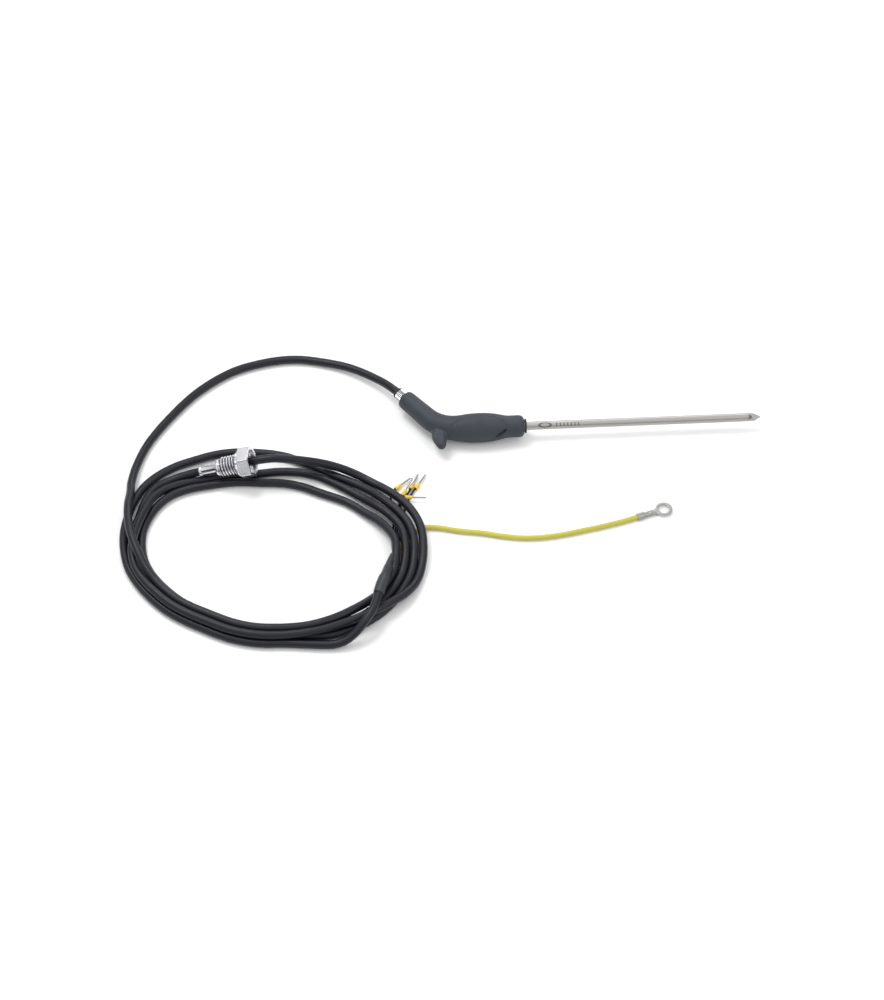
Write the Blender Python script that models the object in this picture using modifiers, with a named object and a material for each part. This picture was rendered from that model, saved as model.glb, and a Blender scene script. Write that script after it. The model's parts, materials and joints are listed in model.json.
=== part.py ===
"""Insertion probe with an angled grip, a coiled cable, a screw gland and crimped cable ends.

Frame: +X runs along the needle to its point, +Z is up, and the table is at Z = 0.
The origin is on the table, under the middle of the handle and needle taken together.
"""
import math

import bmesh
import bpy
from mathutils import Matrix, Vector

MM = 0.001
GAP = 0.3 * MM
MERGE = 0.01 * MM
ROUND_STEPS = 20
SMALL_STEPS = 12

# Handle
AXIS_Y = -8.46 * MM
AXIS_Z = 8.9 * MM
FRONT_X = -33.19 * MM
BEND_BACK = 50.0 * MM
LEG_ANGLE = math.radians(51.5)
LEG_LENGTH = 33.5 * MM
BORE_RADIUS = 4.4 * MM
THROAT_LENGTH = 7.0 * MM
HOOK_REACH = 15.2 * MM

# Needle
NEEDLE_RADIUS = 2.5 * MM
NEEDLE_WALL = 0.4 * MM
NEEDLE_SHOWN = 143.0 * MM
NEEDLE_INSIDE = 22.0 * MM
POINT_LENGTH = 7.7 * MM
POINT_PLUG = 6.0 * MM

# Cable
CABLE_RADIUS = 2.5 * MM
CORE_RADIUS = 0.6 * MM
CORE_COUNT = 5
EARTH_RADIUS = 1.5 * MM
SLEEVE_RADIUS = 3.3 * MM
COIL_HEIGHT = 9.3 * MM

# Gland: distances along its axis are counted from the middle of the nut at rest
GLAND_CENTRE = Vector((-199.0, -35.5, 16.8)) * MM
GLAND_TILT = math.radians(18.7)
GLAND_HEADING = math.radians(-4.9)
GLAND_BORE = 2.8 * MM
THREAD_RADIUS = 6.0 * MM
THREAD_PITCH = 1.75 * MM
THREAD_START = -16.5 * MM
THREAD_END = -0.5 * MM
SEAT_RADIUS = 4.4 * MM
SEAT_DEPTH = -3.0 * MM
SPIGOT_RADIUS = 3.1 * MM
SPIGOT_END = -29.7 * MM
SPIGOT_SLOTS = 4
NUT_FLATS = 17.0 * MM
NUT_THICKNESS = 7.0 * MM
NUT_TURN = math.radians(4.0)
NUT_TRAVEL_IN = 7.0 * MM
NUT_TRAVEL_OUT = 1.75 * MM
WASHER_THICKNESS = 2.2 * MM
WASHER_RADIUS = 7.3 * MM
WASHER_TEETH = 16

# Crimped ends
COLLAR_RADIUS = 1.3 * MM
COLLAR_LENGTH = 4.5 * MM
PIN_RADIUS = 0.55 * MM
PIN_LENGTH = 8.0 * MM
EYE_RADIUS = 5.0 * MM
EYE_HOLE = 3.2 * MM
EYE_THICKNESS = 0.9 * MM

# Routes in millimetres: each list is one smooth curve
ARC_ROUTE = [(-119, 38, 7.2), (-136, 50, 4.2), (-156, 57, 2.7), (-169, 59, 2.6), (-189, 57, 2.6),
             (-209, 50, 2.6), (-229, 35, 2.6), (-245, 16, 2.6), (-258, -4, 2.6), (-265, -22, 3.2),
             (-268, -37, 4.6)]
LEAD_ROUTE = [(-182, -36, 20.6), (-168, -35, 18), (-155, -33.5, 13.4), (-146, -34, 12.2)]
TAIL_ROUTE = [(-157, -163, 2.8), (-150, -162.5, 3.2), (-144, -160.5, 5), (-138.5, -157.2, 8),
              (-133.5, -152.6, 11.6), (-130, -148, 12.8), (-127.4, -142, 13), (-125.4, -135.6, 13.2)]
SLEEVE_ROUTE = [(-125.2, -135, 13.2), (-123.4, -128.5, 13.2), (-122, -122, 12.6), (-120.8, -114.4, 8.6),
                (-120.2, -108, 5)]
EARTH_ROUTE = [(-94.6, -78, 1.6), (-87, -79, 1.6), (-75, -82, 1.6), (-63, -84, 1.6), (-51, -87, 1.6),
               (-39, -89, 1.6), (-27, -89, 1.6), (-15, -87.5, 1.6), (-3, -85, 1.6), (9, -82.4, 1.6),
               (20, -79.5, 1.6), (26, -77.65, 1.6), (31.2, -75.98, 1.6)]
COIL_OUTER = [(-275, -70), (-273, -90), (-263, -109), (-240, -139), (-215, -154.5), (-184, -161.5),
              (-160, -157.5), (-122, -141), (-101, -113), (-95.2, -92), (-98.5, -77), (-109.6, -57),
              (-124.5, -41), (-145, -31), (-167, -23), (-192, -13.5), (-210, -11.5), (-243, -20), (-266, -42)]
COIL_INNER = [(-259.5, -72), (-258, -98), (-240, -125), (-220, -138), (-184, -150), (-150, -146),
              (-127.6, -135.6), (-112.8, -112), (-113.6, -92), (-126, -73), (-147, -56), (-172, -45),
              (-197, -40.8), (-222, -41), (-245, -49)]

# Ferrules: middle of the collar, heading and rise of the pin in degrees, start of the core
FERRULES = [
    ((-110.6, -46.2, 1.35), 41.0, 0.0, (-114.0, -49.2, 1.2)),
    ((-102.4, -46.0, 1.35), 66.0, 0.0, (-106.4, -53.2, 0.9)),
    ((-99.2, -46.0, 1.35), 58.0, 0.0, (-105.9, -58.6, 0.7)),
    ((-104.6, -55.8, 3.0), -4.0, 0.0, (-108.4, -55.4, 2.7)),
    ((-107.0, -50.9, 1.9), 58.0, 17.0, (-109.2, -54.8, 0.75)),
]
RING_CENTRE = Vector((45.0, -71.5, 1.6)) * MM
RING_HEADING = math.radians(18.0)


def clear_scene():
    for old in list(bpy.data.objects):
        bpy.data.objects.remove(old)


def new_collection(name):
    group = bpy.data.collections.new(name)
    bpy.context.scene.collection.children.link(group)
    return group


def make_material(name, color, roughness, metallic=0.0):
    material = bpy.data.materials.new(name)
    material.use_nodes = True
    shader = material.node_tree.nodes["Principled BSDF"]
    shader.inputs["Base Color"].default_value = (*color, 1.0)
    shader.inputs["Roughness"].default_value = roughness
    shader.inputs["Metallic"].default_value = metallic
    return material


clear_scene()
PARTS = new_collection("insertion_probe")
CUTTERS = new_collection("cutters")
GRIP = make_material("grip_plastic", (0.055, 0.065, 0.085), 0.6)
STEEL = make_material("needle_steel", (0.55, 0.54, 0.53), 0.35, 1.0)
NICKEL = make_material("nickel_plate", (0.75, 0.75, 0.77), 0.3, 1.0)
TIN = make_material("tin_plate", (0.45, 0.45, 0.44), 0.4, 1.0)
JACKET = make_material("cable_jacket", (0.012, 0.012, 0.016), 0.4)
SHRINK = make_material("shrink_sleeve", (0.03, 0.032, 0.034), 0.55)
YELLOW = make_material("yellow_collar", (0.75, 0.5, 0.05), 0.45)
EARTH = make_material("earth_insulation", (0.45, 0.45, 0.08), 0.45)
SEAL = make_material("black_rubber", (0.02, 0.02, 0.02), 0.7)
RESIN = make_material("potting_resin", (0.06, 0.04, 0.03), 0.4)
CERAMIC = make_material("ceramic", (0.8, 0.78, 0.72), 0.5)


def cutter(obj):
    """Take an object out of the model and keep it for cutting."""
    PARTS.objects.unlink(obj)
    CUTTERS.objects.link(obj)
    obj.hide_render = True
    obj.display_type = "WIRE"
    return obj


def boolean(obj, other, operation):
    step = obj.modifiers.new(operation.lower(), "BOOLEAN")
    step.operation = operation
    step.object = other
    step.solver = "EXACT"


def axis_matrix(point, direction):
    """Matrix that puts local +Z along a direction at a point."""
    turn = Vector(direction).to_track_quat("Z", "Y").to_matrix().to_4x4()
    return Matrix.Translation(point) @ turn


def turned(name, profile, matrix, material, steps=ROUND_STEPS, closed=False):
    """Turn a profile of (distance along the axis, radius), listed from the far end down."""
    mesh = bpy.data.meshes.new(name)
    points = [(radius, 0.0, along) for along, radius in profile]
    edges = [(i, i + 1) for i in range(len(points) - 1)]
    if closed:
        edges.append((len(points) - 1, 0))
    mesh.from_pydata(points, edges, [])
    obj = bpy.data.objects.new(name, mesh)
    PARTS.objects.link(obj)
    obj.matrix_world = matrix
    spin = obj.modifiers.new("turn", "SCREW")
    spin.steps = steps
    spin.render_steps = steps
    spin.use_merge_vertices = True
    spin.merge_threshold = MERGE
    spin.use_smooth_shade = True
    mesh.materials.append(material)
    return obj


def sleeve(name, near, far, inner, outer, matrix, material, steps=ROUND_STEPS):
    """A plain tube between two distances along an axis."""
    profile = [(far, outer), (near, outer), (near, inner), (far, inner)]
    return turned(name, profile, matrix, material, steps, closed=True)


def rod(name, near, far, radius, matrix, material, steps=SMALL_STEPS):
    """A plain solid bar between two distances along an axis."""
    return turned(name, [(far, 0.0), (far, radius), (near, radius), (near, 0.0)], matrix, material, steps)


def smooth_path(points, spacing):
    """Even points along a Catmull-Rom curve through the given points."""
    ends = [points[0] * 2 - points[1]] + list(points) + [points[-1] * 2 - points[-2]]
    fine = []
    samples = 12
    for k in range(1, len(ends) - 2):
        a, b, c, d = ends[k - 1:k + 3]
        for j in range(samples):
            t = j / samples
            fine.append(0.5 * (2 * b + (c - a) * t + (2 * a - 5 * b + 4 * c - d) * t * t
                               + (3 * b - a - 3 * c + d) * t ** 3))
    fine.append(points[-1])
    lengths = [0.0]
    for a, b in zip(fine, fine[1:]):
        lengths.append(lengths[-1] + (b - a).length)
    count = max(2, round(lengths[-1] / spacing) + 1)
    even = []
    k = 0
    for i in range(count):
        target = lengths[-1] * i / (count - 1)
        while k < len(fine) - 2 and lengths[k + 1] < target:
            k += 1
        share = (target - lengths[k]) / (lengths[k + 1] - lengths[k])
        even.append(fine[k].lerp(fine[k + 1], min(1.0, share)))
    return even


def tube(name, points, radius, material, sides_step=2, radii=None):
    """A round bar along points, with filled ends."""
    curve = bpy.data.curves.new(name, "CURVE")
    curve.dimensions = "3D"
    curve.bevel_depth = radius
    curve.bevel_resolution = sides_step
    curve.use_fill_caps = True
    line = curve.splines.new("POLY")
    line.points.add(len(points) - 1)
    for i, point in enumerate(points):
        line.points[i].co = (*point, 1.0)
        line.points[i].radius = radii[i] / radius if radii else 1.0
    obj = bpy.data.objects.new(name, curve)
    PARTS.objects.link(obj)
    curve.materials.append(material)
    return obj


def route_tube(name, route, radius, material, spacing=12 * MM):
    points = smooth_path([Vector(p) * MM for p in route], spacing)
    return tube(name, points, radius, material)


def as_mesh(obj):
    """Turn a curve object into a welded mesh object of the same name."""
    name = obj.name
    depsgraph = bpy.context.evaluated_depsgraph_get()
    mesh = bpy.data.meshes.new_from_object(obj.evaluated_get(depsgraph))
    shape = bmesh.new()
    shape.from_mesh(mesh)
    bmesh.ops.remove_doubles(shape, verts=shape.verts, dist=MERGE)
    bmesh.ops.recalc_face_normals(shape, faces=shape.faces)
    shape.to_mesh(mesh)
    shape.free()
    matrix = obj.matrix_world.copy()
    bpy.data.objects.remove(obj)
    solid = bpy.data.objects.new(name, mesh)
    solid.matrix_world = matrix
    PARTS.objects.link(solid)
    return solid


def toothed_plate(name, teeth, outer, root, hole, near, thickness, matrix, material):
    """A flat ring with pointed teeth round its edge, cut from plate."""
    curve = bpy.data.curves.new(name, "CURVE")
    curve.dimensions = "2D"
    curve.fill_mode = "BOTH"
    curve.extrude = thickness / 2
    count = teeth * 2
    edge = [outer if i % 2 else root for i in range(count)]
    for radii in (edge, [hole] * count):
        line = curve.splines.new("POLY")
        line.points.add(count - 1)
        line.use_cyclic_u = True
        for i, radius in enumerate(radii):
            angle = 2 * math.pi * i / count
            line.points[i].co = (radius * math.cos(angle), radius * math.sin(angle), 0.0, 1.0)
    obj = bpy.data.objects.new(name, curve)
    obj.matrix_world = matrix @ Matrix.Translation((0, 0, near + thickness / 2))
    PARTS.objects.link(obj)
    curve.materials.append(material)
    return obj


# ---------------------------------------------------------------- handle and needle

FRONT = Vector((FRONT_X, AXIS_Y, AXIS_Z))
BEND = FRONT - Vector((BEND_BACK, 0, 0))
LEG_DIRECTION = Vector((-math.cos(LEG_ANGLE), math.sin(LEG_ANGLE), 0))
LEG_END = BEND + LEG_DIRECTION * LEG_LENGTH
NEEDLE_AXIS = axis_matrix(FRONT, (1, 0, 0))
LEG_AXIS = axis_matrix(LEG_END, LEG_DIRECTION)


def handle_line(front_over, end_over):
    """Centre line of the handle from its front face, round the bend, to its rear face."""
    bend_start = 13.0 * MM
    corner = [BEND + Vector((bend_start, 0, 0)), BEND, BEND + LEG_DIRECTION * bend_start]
    line = [FRONT + Vector((front_over, 0, 0))]
    straight = [1.2, 2.6, 6.0, 10.0, 14.0, 18.0, 22.0, 26.0, 30.0, 34.0]
    line += [FRONT - Vector((d * MM, 0, 0)) for d in straight]
    steps = 7
    for i in range(steps):
        t = i / (steps - 1)
        line.append(corner[0] * (1 - t) ** 2 + corner[1] * 2 * t * (1 - t) + corner[2] * t * t)
    for d in (18.0, 23.0, 28.0, 31.5, 33.0):
        line.append(BEND + LEG_DIRECTION * d * MM)
    line.append(LEG_END + LEG_DIRECTION * end_over)
    return line


def make_grip():
    line = handle_line(0.0, 0.0)
    radii = [4.9, 6.2, 6.7, 6.7, 6.75, 7.5, 8.3, 8.75, 8.9, 8.85, 8.6,
             8.2, 7.7, 7.3, 6.9, 6.6, 6.4, 6.25, 6.1, 5.95, 5.85, 5.75, 5.45, 4.9]
    body = as_mesh(tube("handle_grip", line, 1.0 * MM, GRIP, 6, [r * MM for r in radii]))
    hook_base = BEND + Vector((-1.6 * MM, -2.0 * MM, 0))
    hook_axis = axis_matrix(hook_base, (0, -1, 0))
    reach = HOOK_REACH - 2.0 * MM
    profile = [(reach, 0.0), (reach, 1.3 * MM), (reach - 0.9 * MM, 2.3 * MM), (reach * 0.55, 3.2 * MM),
               (reach * 0.3, 4.6 * MM), (0.0, 5.6 * MM), (0.0, 0.0)]
    hook = cutter(turned("hook_form", profile, hook_axis, GRIP, SMALL_STEPS))
    boolean(body, hook, "UNION")
    bore_line = handle_line(1.0 * MM, 1.0 * MM)
    throat = NEEDLE_RADIUS + GAP
    bore_radii = [BORE_RADIUS] * len(bore_line)
    for i, point in enumerate(bore_line):
        if FRONT.x - point.x < THROAT_LENGTH:
            bore_radii[i] = throat
    bore = cutter(as_mesh(tube("grip_bore", bore_line, 1.0 * MM, GRIP, 3, bore_radii)))
    boolean(body, bore, "DIFFERENCE")


def make_needle():
    tube_end = NEEDLE_SHOWN - POINT_LENGTH
    inner = NEEDLE_RADIUS - NEEDLE_WALL
    sleeve("needle_tube", -NEEDLE_INSIDE, tube_end - GAP, inner, NEEDLE_RADIUS, NEEDLE_AXIS, STEEL)
    plug = inner - GAP
    profile = [(NEEDLE_SHOWN, 0.0), (tube_end, NEEDLE_RADIUS), (tube_end, plug),
               (tube_end - POINT_PLUG, plug), (tube_end - POINT_PLUG, 0.0)]
    turned("needle_tip", profile, NEEDLE_AXIS, STEEL)
    rod("sensing_element", tube_end - 17 * MM, tube_end - 7 * MM, 1.0 * MM, NEEDLE_AXIS, CERAMIC)
    insulator_end = tube_end - 17.5 * MM
    sleeve("lead_insulator", -19 * MM, insulator_end, 0.9 * MM, 1.6 * MM, NEEDLE_AXIS, CERAMIC, SMALL_STEPS)
    hole = NEEDLE_RADIUS + GAP
    bore_fit = 3.9 * MM
    sleeve("needle_collar", -13.6 * MM, -10.6 * MM, hole, bore_fit, NEEDLE_AXIS, NICKEL)
    sleeve("potting_plug", -20 * MM, -14.0 * MM, hole, bore_fit, NEEDLE_AXIS, RESIN, SMALL_STEPS)


def make_front_ring():
    """Toothed ring that closes the gap between the needle and the grip."""
    teeth = 14
    thickness = 1.1 * MM
    toothed_plate("front_seal_ring", teeth, 4.3 * MM, 3.7 * MM, NEEDLE_RADIUS + GAP, GAP, thickness,
                  NEEDLE_AXIS, SEAL)


def make_splices():
    """Crimp splices in the grip, one for each core, with the thin leads that come to them."""
    ring = 2.4 * MM
    lead = 0.35 * MM
    for i in range(CORE_COUNT):
        angle = 2 * math.pi * i / CORE_COUNT
        side = Vector((0, math.cos(angle), math.sin(angle)))
        seat = FRONT + side * ring
        matrix = axis_matrix(seat, (1, 0, 0))
        rod(f"splice_{i + 1}", -36 * MM, -29 * MM, 0.9 * MM, matrix, CERAMIC, 8)
        start = FRONT + Vector((-20.5 * MM, 0, 0)) + side * 0.55 * MM
        middle = FRONT + Vector((-24.5 * MM, 0, 0)) + side * 1.1 * MM
        end = FRONT + Vector((-28.6 * MM, 0, 0)) + side * ring
        tube(f"inner_lead_{i + 1}", smooth_path([start, middle, end], 2 * MM), lead, TIN, 0)


def make_cable_entry():
    sleeve("rear_ferrule", -3.0 * MM, 4.6 * MM, CABLE_RADIUS + GAP, 3.7 * MM, LEG_AXIS, NICKEL)
    hole = CABLE_RADIUS + GAP
    lip = [(6.4 * MM, 3.0 * MM), (4.9 * MM, 3.75 * MM), (4.9 * MM, hole), (6.4 * MM, hole)]
    turned("cable_lip", lip, LEG_AXIS, SEAL, closed=True)


# ---------------------------------------------------------------- gland

GLAND_DIRECTION = Vector((math.cos(GLAND_TILT) * math.cos(GLAND_HEADING),
                          math.cos(GLAND_TILT) * math.sin(GLAND_HEADING), math.sin(GLAND_TILT)))
GLAND_AXIS = axis_matrix(GLAND_CENTRE, GLAND_DIRECTION)


def make_gland_body():
    bore = GLAND_BORE
    root = THREAD_RADIUS - 0.75 * MM
    outer = []
    ridges = int((THREAD_END - THREAD_START) / THREAD_PITCH)
    for i in range(ridges):
        foot = THREAD_END - i * THREAD_PITCH
        outer += [(foot, root), (foot - 0.5 * THREAD_PITCH, THREAD_RADIUS)]
    shoulder = THREAD_START - 1.8 * MM
    outer += [(THREAD_START, root), (THREAD_START, 5.2 * MM), (shoulder, 5.2 * MM),
              (shoulder - 0.8 * MM, SPIGOT_RADIUS), (SPIGOT_END, SPIGOT_RADIUS)]
    inner = [(SPIGOT_END, bore), (SEAT_DEPTH, bore), (SEAT_DEPTH, SEAT_RADIUS), (THREAD_END, SEAT_RADIUS)]
    profile = outer + inner
    body = turned("gland_body", profile, GLAND_AXIS, NICKEL, closed=True)
    slot_length = 9.0 * MM
    for i in range(SPIGOT_SLOTS):
        bpy.ops.mesh.primitive_cube_add(size=1.0)
        slot = bpy.context.object
        slot.name = f"spigot_slot_{i}"
        for group in list(slot.users_collection):
            group.objects.unlink(slot)
        PARTS.objects.link(slot)
        place = Matrix.Translation((SPIGOT_RADIUS, 0, SPIGOT_END + 1.6 * MM + slot_length / 2))
        size = Matrix.Diagonal((3.0 * MM, 0.7 * MM, slot_length, 1.0))
        turn = Matrix.Rotation(2 * math.pi * (i + 0.5) / SPIGOT_SLOTS, 4, "Z")
        slot.data.transform(place @ size)
        slot.matrix_world = GLAND_AXIS @ turn
        boolean(body, cutter(slot), "DIFFERENCE")


def make_gland_rings():
    collar = SPIGOT_RADIUS + GAP
    wall = 0.4 * MM
    near = SPIGOT_END + 0.1 * MM
    sleeve("spigot_clamp_ring", near, near + 1.4 * MM, collar, collar + wall, GLAND_AXIS, NICKEL)
    sleeve("gland_seal", SEAT_DEPTH + GAP, THREAD_END - GAP, GLAND_BORE, SEAT_RADIUS - GAP, GLAND_AXIS, SEAL)


def make_nut():
    """Hexagon nut; its hole clears the screw so that it can turn and run along it."""
    joint = bpy.data.objects.new("nut_axis", None)
    PARTS.objects.link(joint)
    joint.matrix_world = GLAND_AXIS
    half = NUT_THICKNESS / 2
    corner = NUT_FLATS / math.sqrt(3)
    steps = 32
    hole = (THREAD_RADIUS + 0.05 * MM) / math.cos(math.pi / steps)
    chamfer = 0.9 * MM
    nut = rod("hex_nut", -half, half, corner, Matrix.Identity(4), NICKEL, 6)
    nut.parent = joint
    nut.matrix_local = Matrix.Rotation(NUT_TURN, 4, "Z")
    edge = corner - 1.3 * MM
    profile = [(half + 1 * MM, hole), (half + 1 * MM, edge - 1.2 * MM), (half - chamfer, corner + 0.3 * MM),
               (-half + chamfer, corner + 0.3 * MM), (-half - 1 * MM, edge - 1.2 * MM),
               (-half - 1 * MM, hole)]
    form = cutter(turned("nut_form", profile, Matrix.Identity(4), NICKEL, steps, closed=True))
    form.parent = joint
    boolean(nut, form, "INTERSECT")


def make_washer():
    """Serrated lock washer that rides in front of the nut."""
    near = -NUT_THICKNESS / 2 - GAP - WASHER_THICKNESS
    hole = THREAD_RADIUS + 0.05 * MM
    toothed_plate("lock_washer", WASHER_TEETH, WASHER_RADIUS, WASHER_RADIUS - 0.7 * MM, hole, near,
                  WASHER_THICKNESS, GLAND_AXIS, NICKEL)


# ---------------------------------------------------------------- cable

def make_cable_arc():
    """The cable from inside the rear leg to the coil."""
    inside = LEG_END - LEG_DIRECTION * 14 * MM
    straight = LEG_END + LEG_DIRECTION * 9 * MM
    route = [inside, LEG_END, straight] + [Vector(p) * MM for p in ARC_ROUTE]
    tube("cable_arc", smooth_path(route, 11 * MM), CABLE_RADIUS, JACKET)


def make_coil():
    """The outer shape of the coil, cut clear of the gland and of the nut's travel."""
    curve = bpy.data.curves.new("cable_coil", "CURVE")
    curve.dimensions = "2D"
    curve.fill_mode = "BOTH"
    curve.extrude = COIL_HEIGHT / 2
    for outline in (COIL_OUTER, COIL_INNER):
        ring = [Vector((x, y, 0)) * MM for x, y in outline]
        smooth = smooth_path(ring + ring[:1], 9 * MM)[:-1]
        line = curve.splines.new("POLY")
        line.points.add(len(smooth) - 1)
        line.use_cyclic_u = True
        for i, point in enumerate(smooth):
            line.points[i].co = (*point, 1.0)
    obj = bpy.data.objects.new("cable_coil", curve)
    obj.location.z = COIL_HEIGHT / 2
    PARTS.objects.link(obj)
    curve.materials.append(JACKET)
    bpy.context.view_layer.update()
    coil = as_mesh(obj)
    room = NUT_FLATS / math.sqrt(3) + 0.6 * MM
    back = THREAD_START - 2.6 * MM
    wide = -NUT_THICKNESS / 2 - NUT_TRAVEL_IN - 3 * MM
    profile = [(14 * MM, 0.0), (14 * MM, room), (wide, room), (wide, 6.9 * MM), (back, 6.9 * MM),
               (back, 4.3 * MM), (SPIGOT_END - 5.0 * MM, 4.3 * MM), (SPIGOT_END - 5.0 * MM, 0.0)]
    boolean(coil, cutter(turned("gland_pocket", profile, GLAND_AXIS, JACKET)), "DIFFERENCE")


def make_gland_lead():
    """The cable through the gland, from one side of the coil's pocket to the other."""
    left = GLAND_CENTRE + GLAND_DIRECTION * (SPIGOT_END - 4.4 * MM)
    spigot = GLAND_CENTRE + GLAND_DIRECTION * SPIGOT_END
    mouth = GLAND_CENTRE + GLAND_DIRECTION * 8 * MM
    route = [left, spigot, GLAND_CENTRE, mouth] + [Vector(p) * MM for p in LEAD_ROUTE]
    tube("cable_gland_lead", smooth_path(route, 5 * MM), CABLE_RADIUS, JACKET)


def make_tail():
    bend_spacing = 5.5 * MM
    route_tube("cable_tail", TAIL_ROUTE, CABLE_RADIUS, JACKET, bend_spacing)
    route_tube("tail_sleeve", SLEEVE_ROUTE, SLEEVE_RADIUS, SHRINK, bend_spacing)


def make_core_end(number, middle, heading, rise, start):
    """One core with its insulated ferrule: a yellow collar and a tinned pin."""
    heading = math.radians(heading)
    rise = math.radians(rise)
    flat = math.cos(rise)
    direction = Vector((math.cos(heading) * flat, math.sin(heading) * flat, math.sin(rise)))
    centre = Vector(middle) * MM
    axis = axis_matrix(centre, direction)
    half = COLLAR_LENGTH / 2
    rod(f"ferrule_collar_{number}", -half, half, COLLAR_RADIUS, axis, YELLOW, 10)
    rod(f"ferrule_pin_{number}", half + GAP, half + PIN_LENGTH, PIN_RADIUS, axis, TIN, 8)
    end = centre - direction * (half + GAP)
    before = end - direction * 1.2 * MM
    tube(f"core_wire_{number}", [Vector(start) * MM, before, end], CORE_RADIUS, JACKET)


def make_ring_terminal():
    """Crimped ring terminal: an eye, a neck and a barrel in one stamped piece."""
    axis = Matrix.Translation(RING_CENTRE) @ Matrix.Rotation(RING_HEADING, 4, "Z")
    half = EYE_THICKNESS / 2
    eye = sleeve("ring_terminal", -half, half, EYE_HOLE, EYE_RADIUS, axis, TIN, 28)
    bpy.ops.mesh.primitive_cube_add(size=1.0)
    neck = bpy.context.object
    neck.name = "terminal_neck"
    for group in list(neck.users_collection):
        group.objects.unlink(neck)
    PARTS.objects.link(neck)
    place = Matrix.Translation((-6.0 * MM, 0, 0))
    neck.data.transform(place @ Matrix.Diagonal((4.0 * MM, 3.6 * MM, EYE_THICKNESS, 1)))
    neck.matrix_world = axis
    boolean(eye, cutter(neck), "UNION")
    barrel_axis = axis_matrix(RING_CENTRE, axis.to_3x3() @ Vector((-1, 0, 0)))
    barrel = [(17.2 * MM, 1.7 * MM), (17.2 * MM, 2.05 * MM), (12.6 * MM, 2.05 * MM), (12.6 * MM, 1.6 * MM),
              (7.2 * MM, 1.6 * MM), (7.2 * MM, 0.0), (13.0 * MM, 0.0), (13.0 * MM, 1.7 * MM)]
    boolean(eye, cutter(turned("terminal_barrel", barrel, barrel_axis, TIN, 14, closed=True)), "UNION")


make_grip()
make_needle()
make_front_ring()
make_splices()
make_cable_entry()
make_gland_body()
make_gland_rings()
make_nut()
make_washer()
make_cable_arc()
make_coil()
make_gland_lead()
make_tail()
for index, ferrule in enumerate(FERRULES):
    make_core_end(index + 1, *ferrule)
route_tube("earth_wire", EARTH_ROUTE, EARTH_RADIUS, EARTH)
make_ring_terminal()
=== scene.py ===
"""Insertion probe with an angled grip, a coiled cable, a screw gland and crimped cable ends."""
import json
import math

import bmesh
import bpy
from bpy.props import FloatProperty, FloatVectorProperty, IntProperty, PointerProperty
from mathutils import Matrix, Vector


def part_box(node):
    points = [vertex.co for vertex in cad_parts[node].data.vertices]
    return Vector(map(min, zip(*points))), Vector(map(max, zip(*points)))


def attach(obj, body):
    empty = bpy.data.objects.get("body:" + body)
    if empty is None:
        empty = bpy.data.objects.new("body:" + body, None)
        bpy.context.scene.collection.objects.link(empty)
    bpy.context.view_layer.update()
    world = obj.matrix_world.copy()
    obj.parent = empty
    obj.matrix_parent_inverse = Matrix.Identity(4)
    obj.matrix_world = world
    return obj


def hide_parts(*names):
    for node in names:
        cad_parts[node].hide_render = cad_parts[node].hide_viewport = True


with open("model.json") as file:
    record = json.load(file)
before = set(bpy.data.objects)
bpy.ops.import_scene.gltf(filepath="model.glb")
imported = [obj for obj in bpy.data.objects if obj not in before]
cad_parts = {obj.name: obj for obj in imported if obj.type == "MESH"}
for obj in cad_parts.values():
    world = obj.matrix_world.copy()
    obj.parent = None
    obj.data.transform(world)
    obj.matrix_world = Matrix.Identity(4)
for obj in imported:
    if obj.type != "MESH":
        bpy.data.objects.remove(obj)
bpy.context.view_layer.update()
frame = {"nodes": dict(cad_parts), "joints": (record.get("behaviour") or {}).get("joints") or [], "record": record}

bl_info = {
    "name": "Insertion Probe",
    "version": (1, 0, 0),
    "blender": (4, 5, 0),
    "location": "View3D > Sidebar > Probe",
    "description": "Builds the looks of an insertion probe, its cable, gland and crimped ends",
    "category": "Object",
}

MM = 0.001


def middle(low, high):
    """Centre of a box."""
    return (Vector(low) + Vector(high)) / 2


# Places taken from the frame
NEEDLE_LOW, NEEDLE_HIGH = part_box("needle_tube")
NEEDLE_INSIDE = 22.0 * MM
FRONT = middle(NEEDLE_LOW, NEEDLE_HIGH)
FRONT.x = NEEDLE_LOW.x + NEEDLE_INSIDE
NEEDLE_RADIUS = (NEEDLE_HIGH.y - NEEDLE_LOW.y) / 2
NEEDLE_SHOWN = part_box("needle_tip")[1].x - FRONT.x
NUT_JOINT = next(joint for joint in frame["joints"] if joint["name"] == "nut_turn")
GLAND_CENTRE = Vector(NUT_JOINT["pos_m"])
GLAND_DIRECTION = Vector(NUT_JOINT["axis"]).normalized()
EYE_BOX = frame["record"]["physics"]["openings"][0]["box_m"]
EYE_CENTRE = middle(*EYE_BOX)
EYE_CENTRE.z = 1.6 * MM

# Handle centre line, and (distance along it, radius) in millimetres
BEND = FRONT - Vector((50.0 * MM, 0, 0))
LEG_ANGLE = math.radians(51.5)
LEG_DIRECTION = Vector((-math.cos(LEG_ANGLE), math.sin(LEG_ANGLE), 0))
LEG_END = BEND + LEG_DIRECTION * 33.5 * MM
BEND_START = 13.0 * MM
STRAIGHT_RADII = [(0.0, 4.9), (1.2, 6.2), (2.6, 6.7), (6.0, 6.7), (10.0, 6.75), (14.0, 7.5), (18.0, 8.3),
                  (22.0, 8.75), (26.0, 8.9), (30.0, 8.85), (34.0, 8.6)]
BEND_RADII = [8.2, 7.7, 7.3, 6.9, 6.6, 6.4, 6.25]
LEG_RADII = [(18.0, 6.1), (23.0, 5.95), (28.0, 5.85), (31.0, 5.75), (32.4, 5.45), (32.9, 4.9)]

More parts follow.
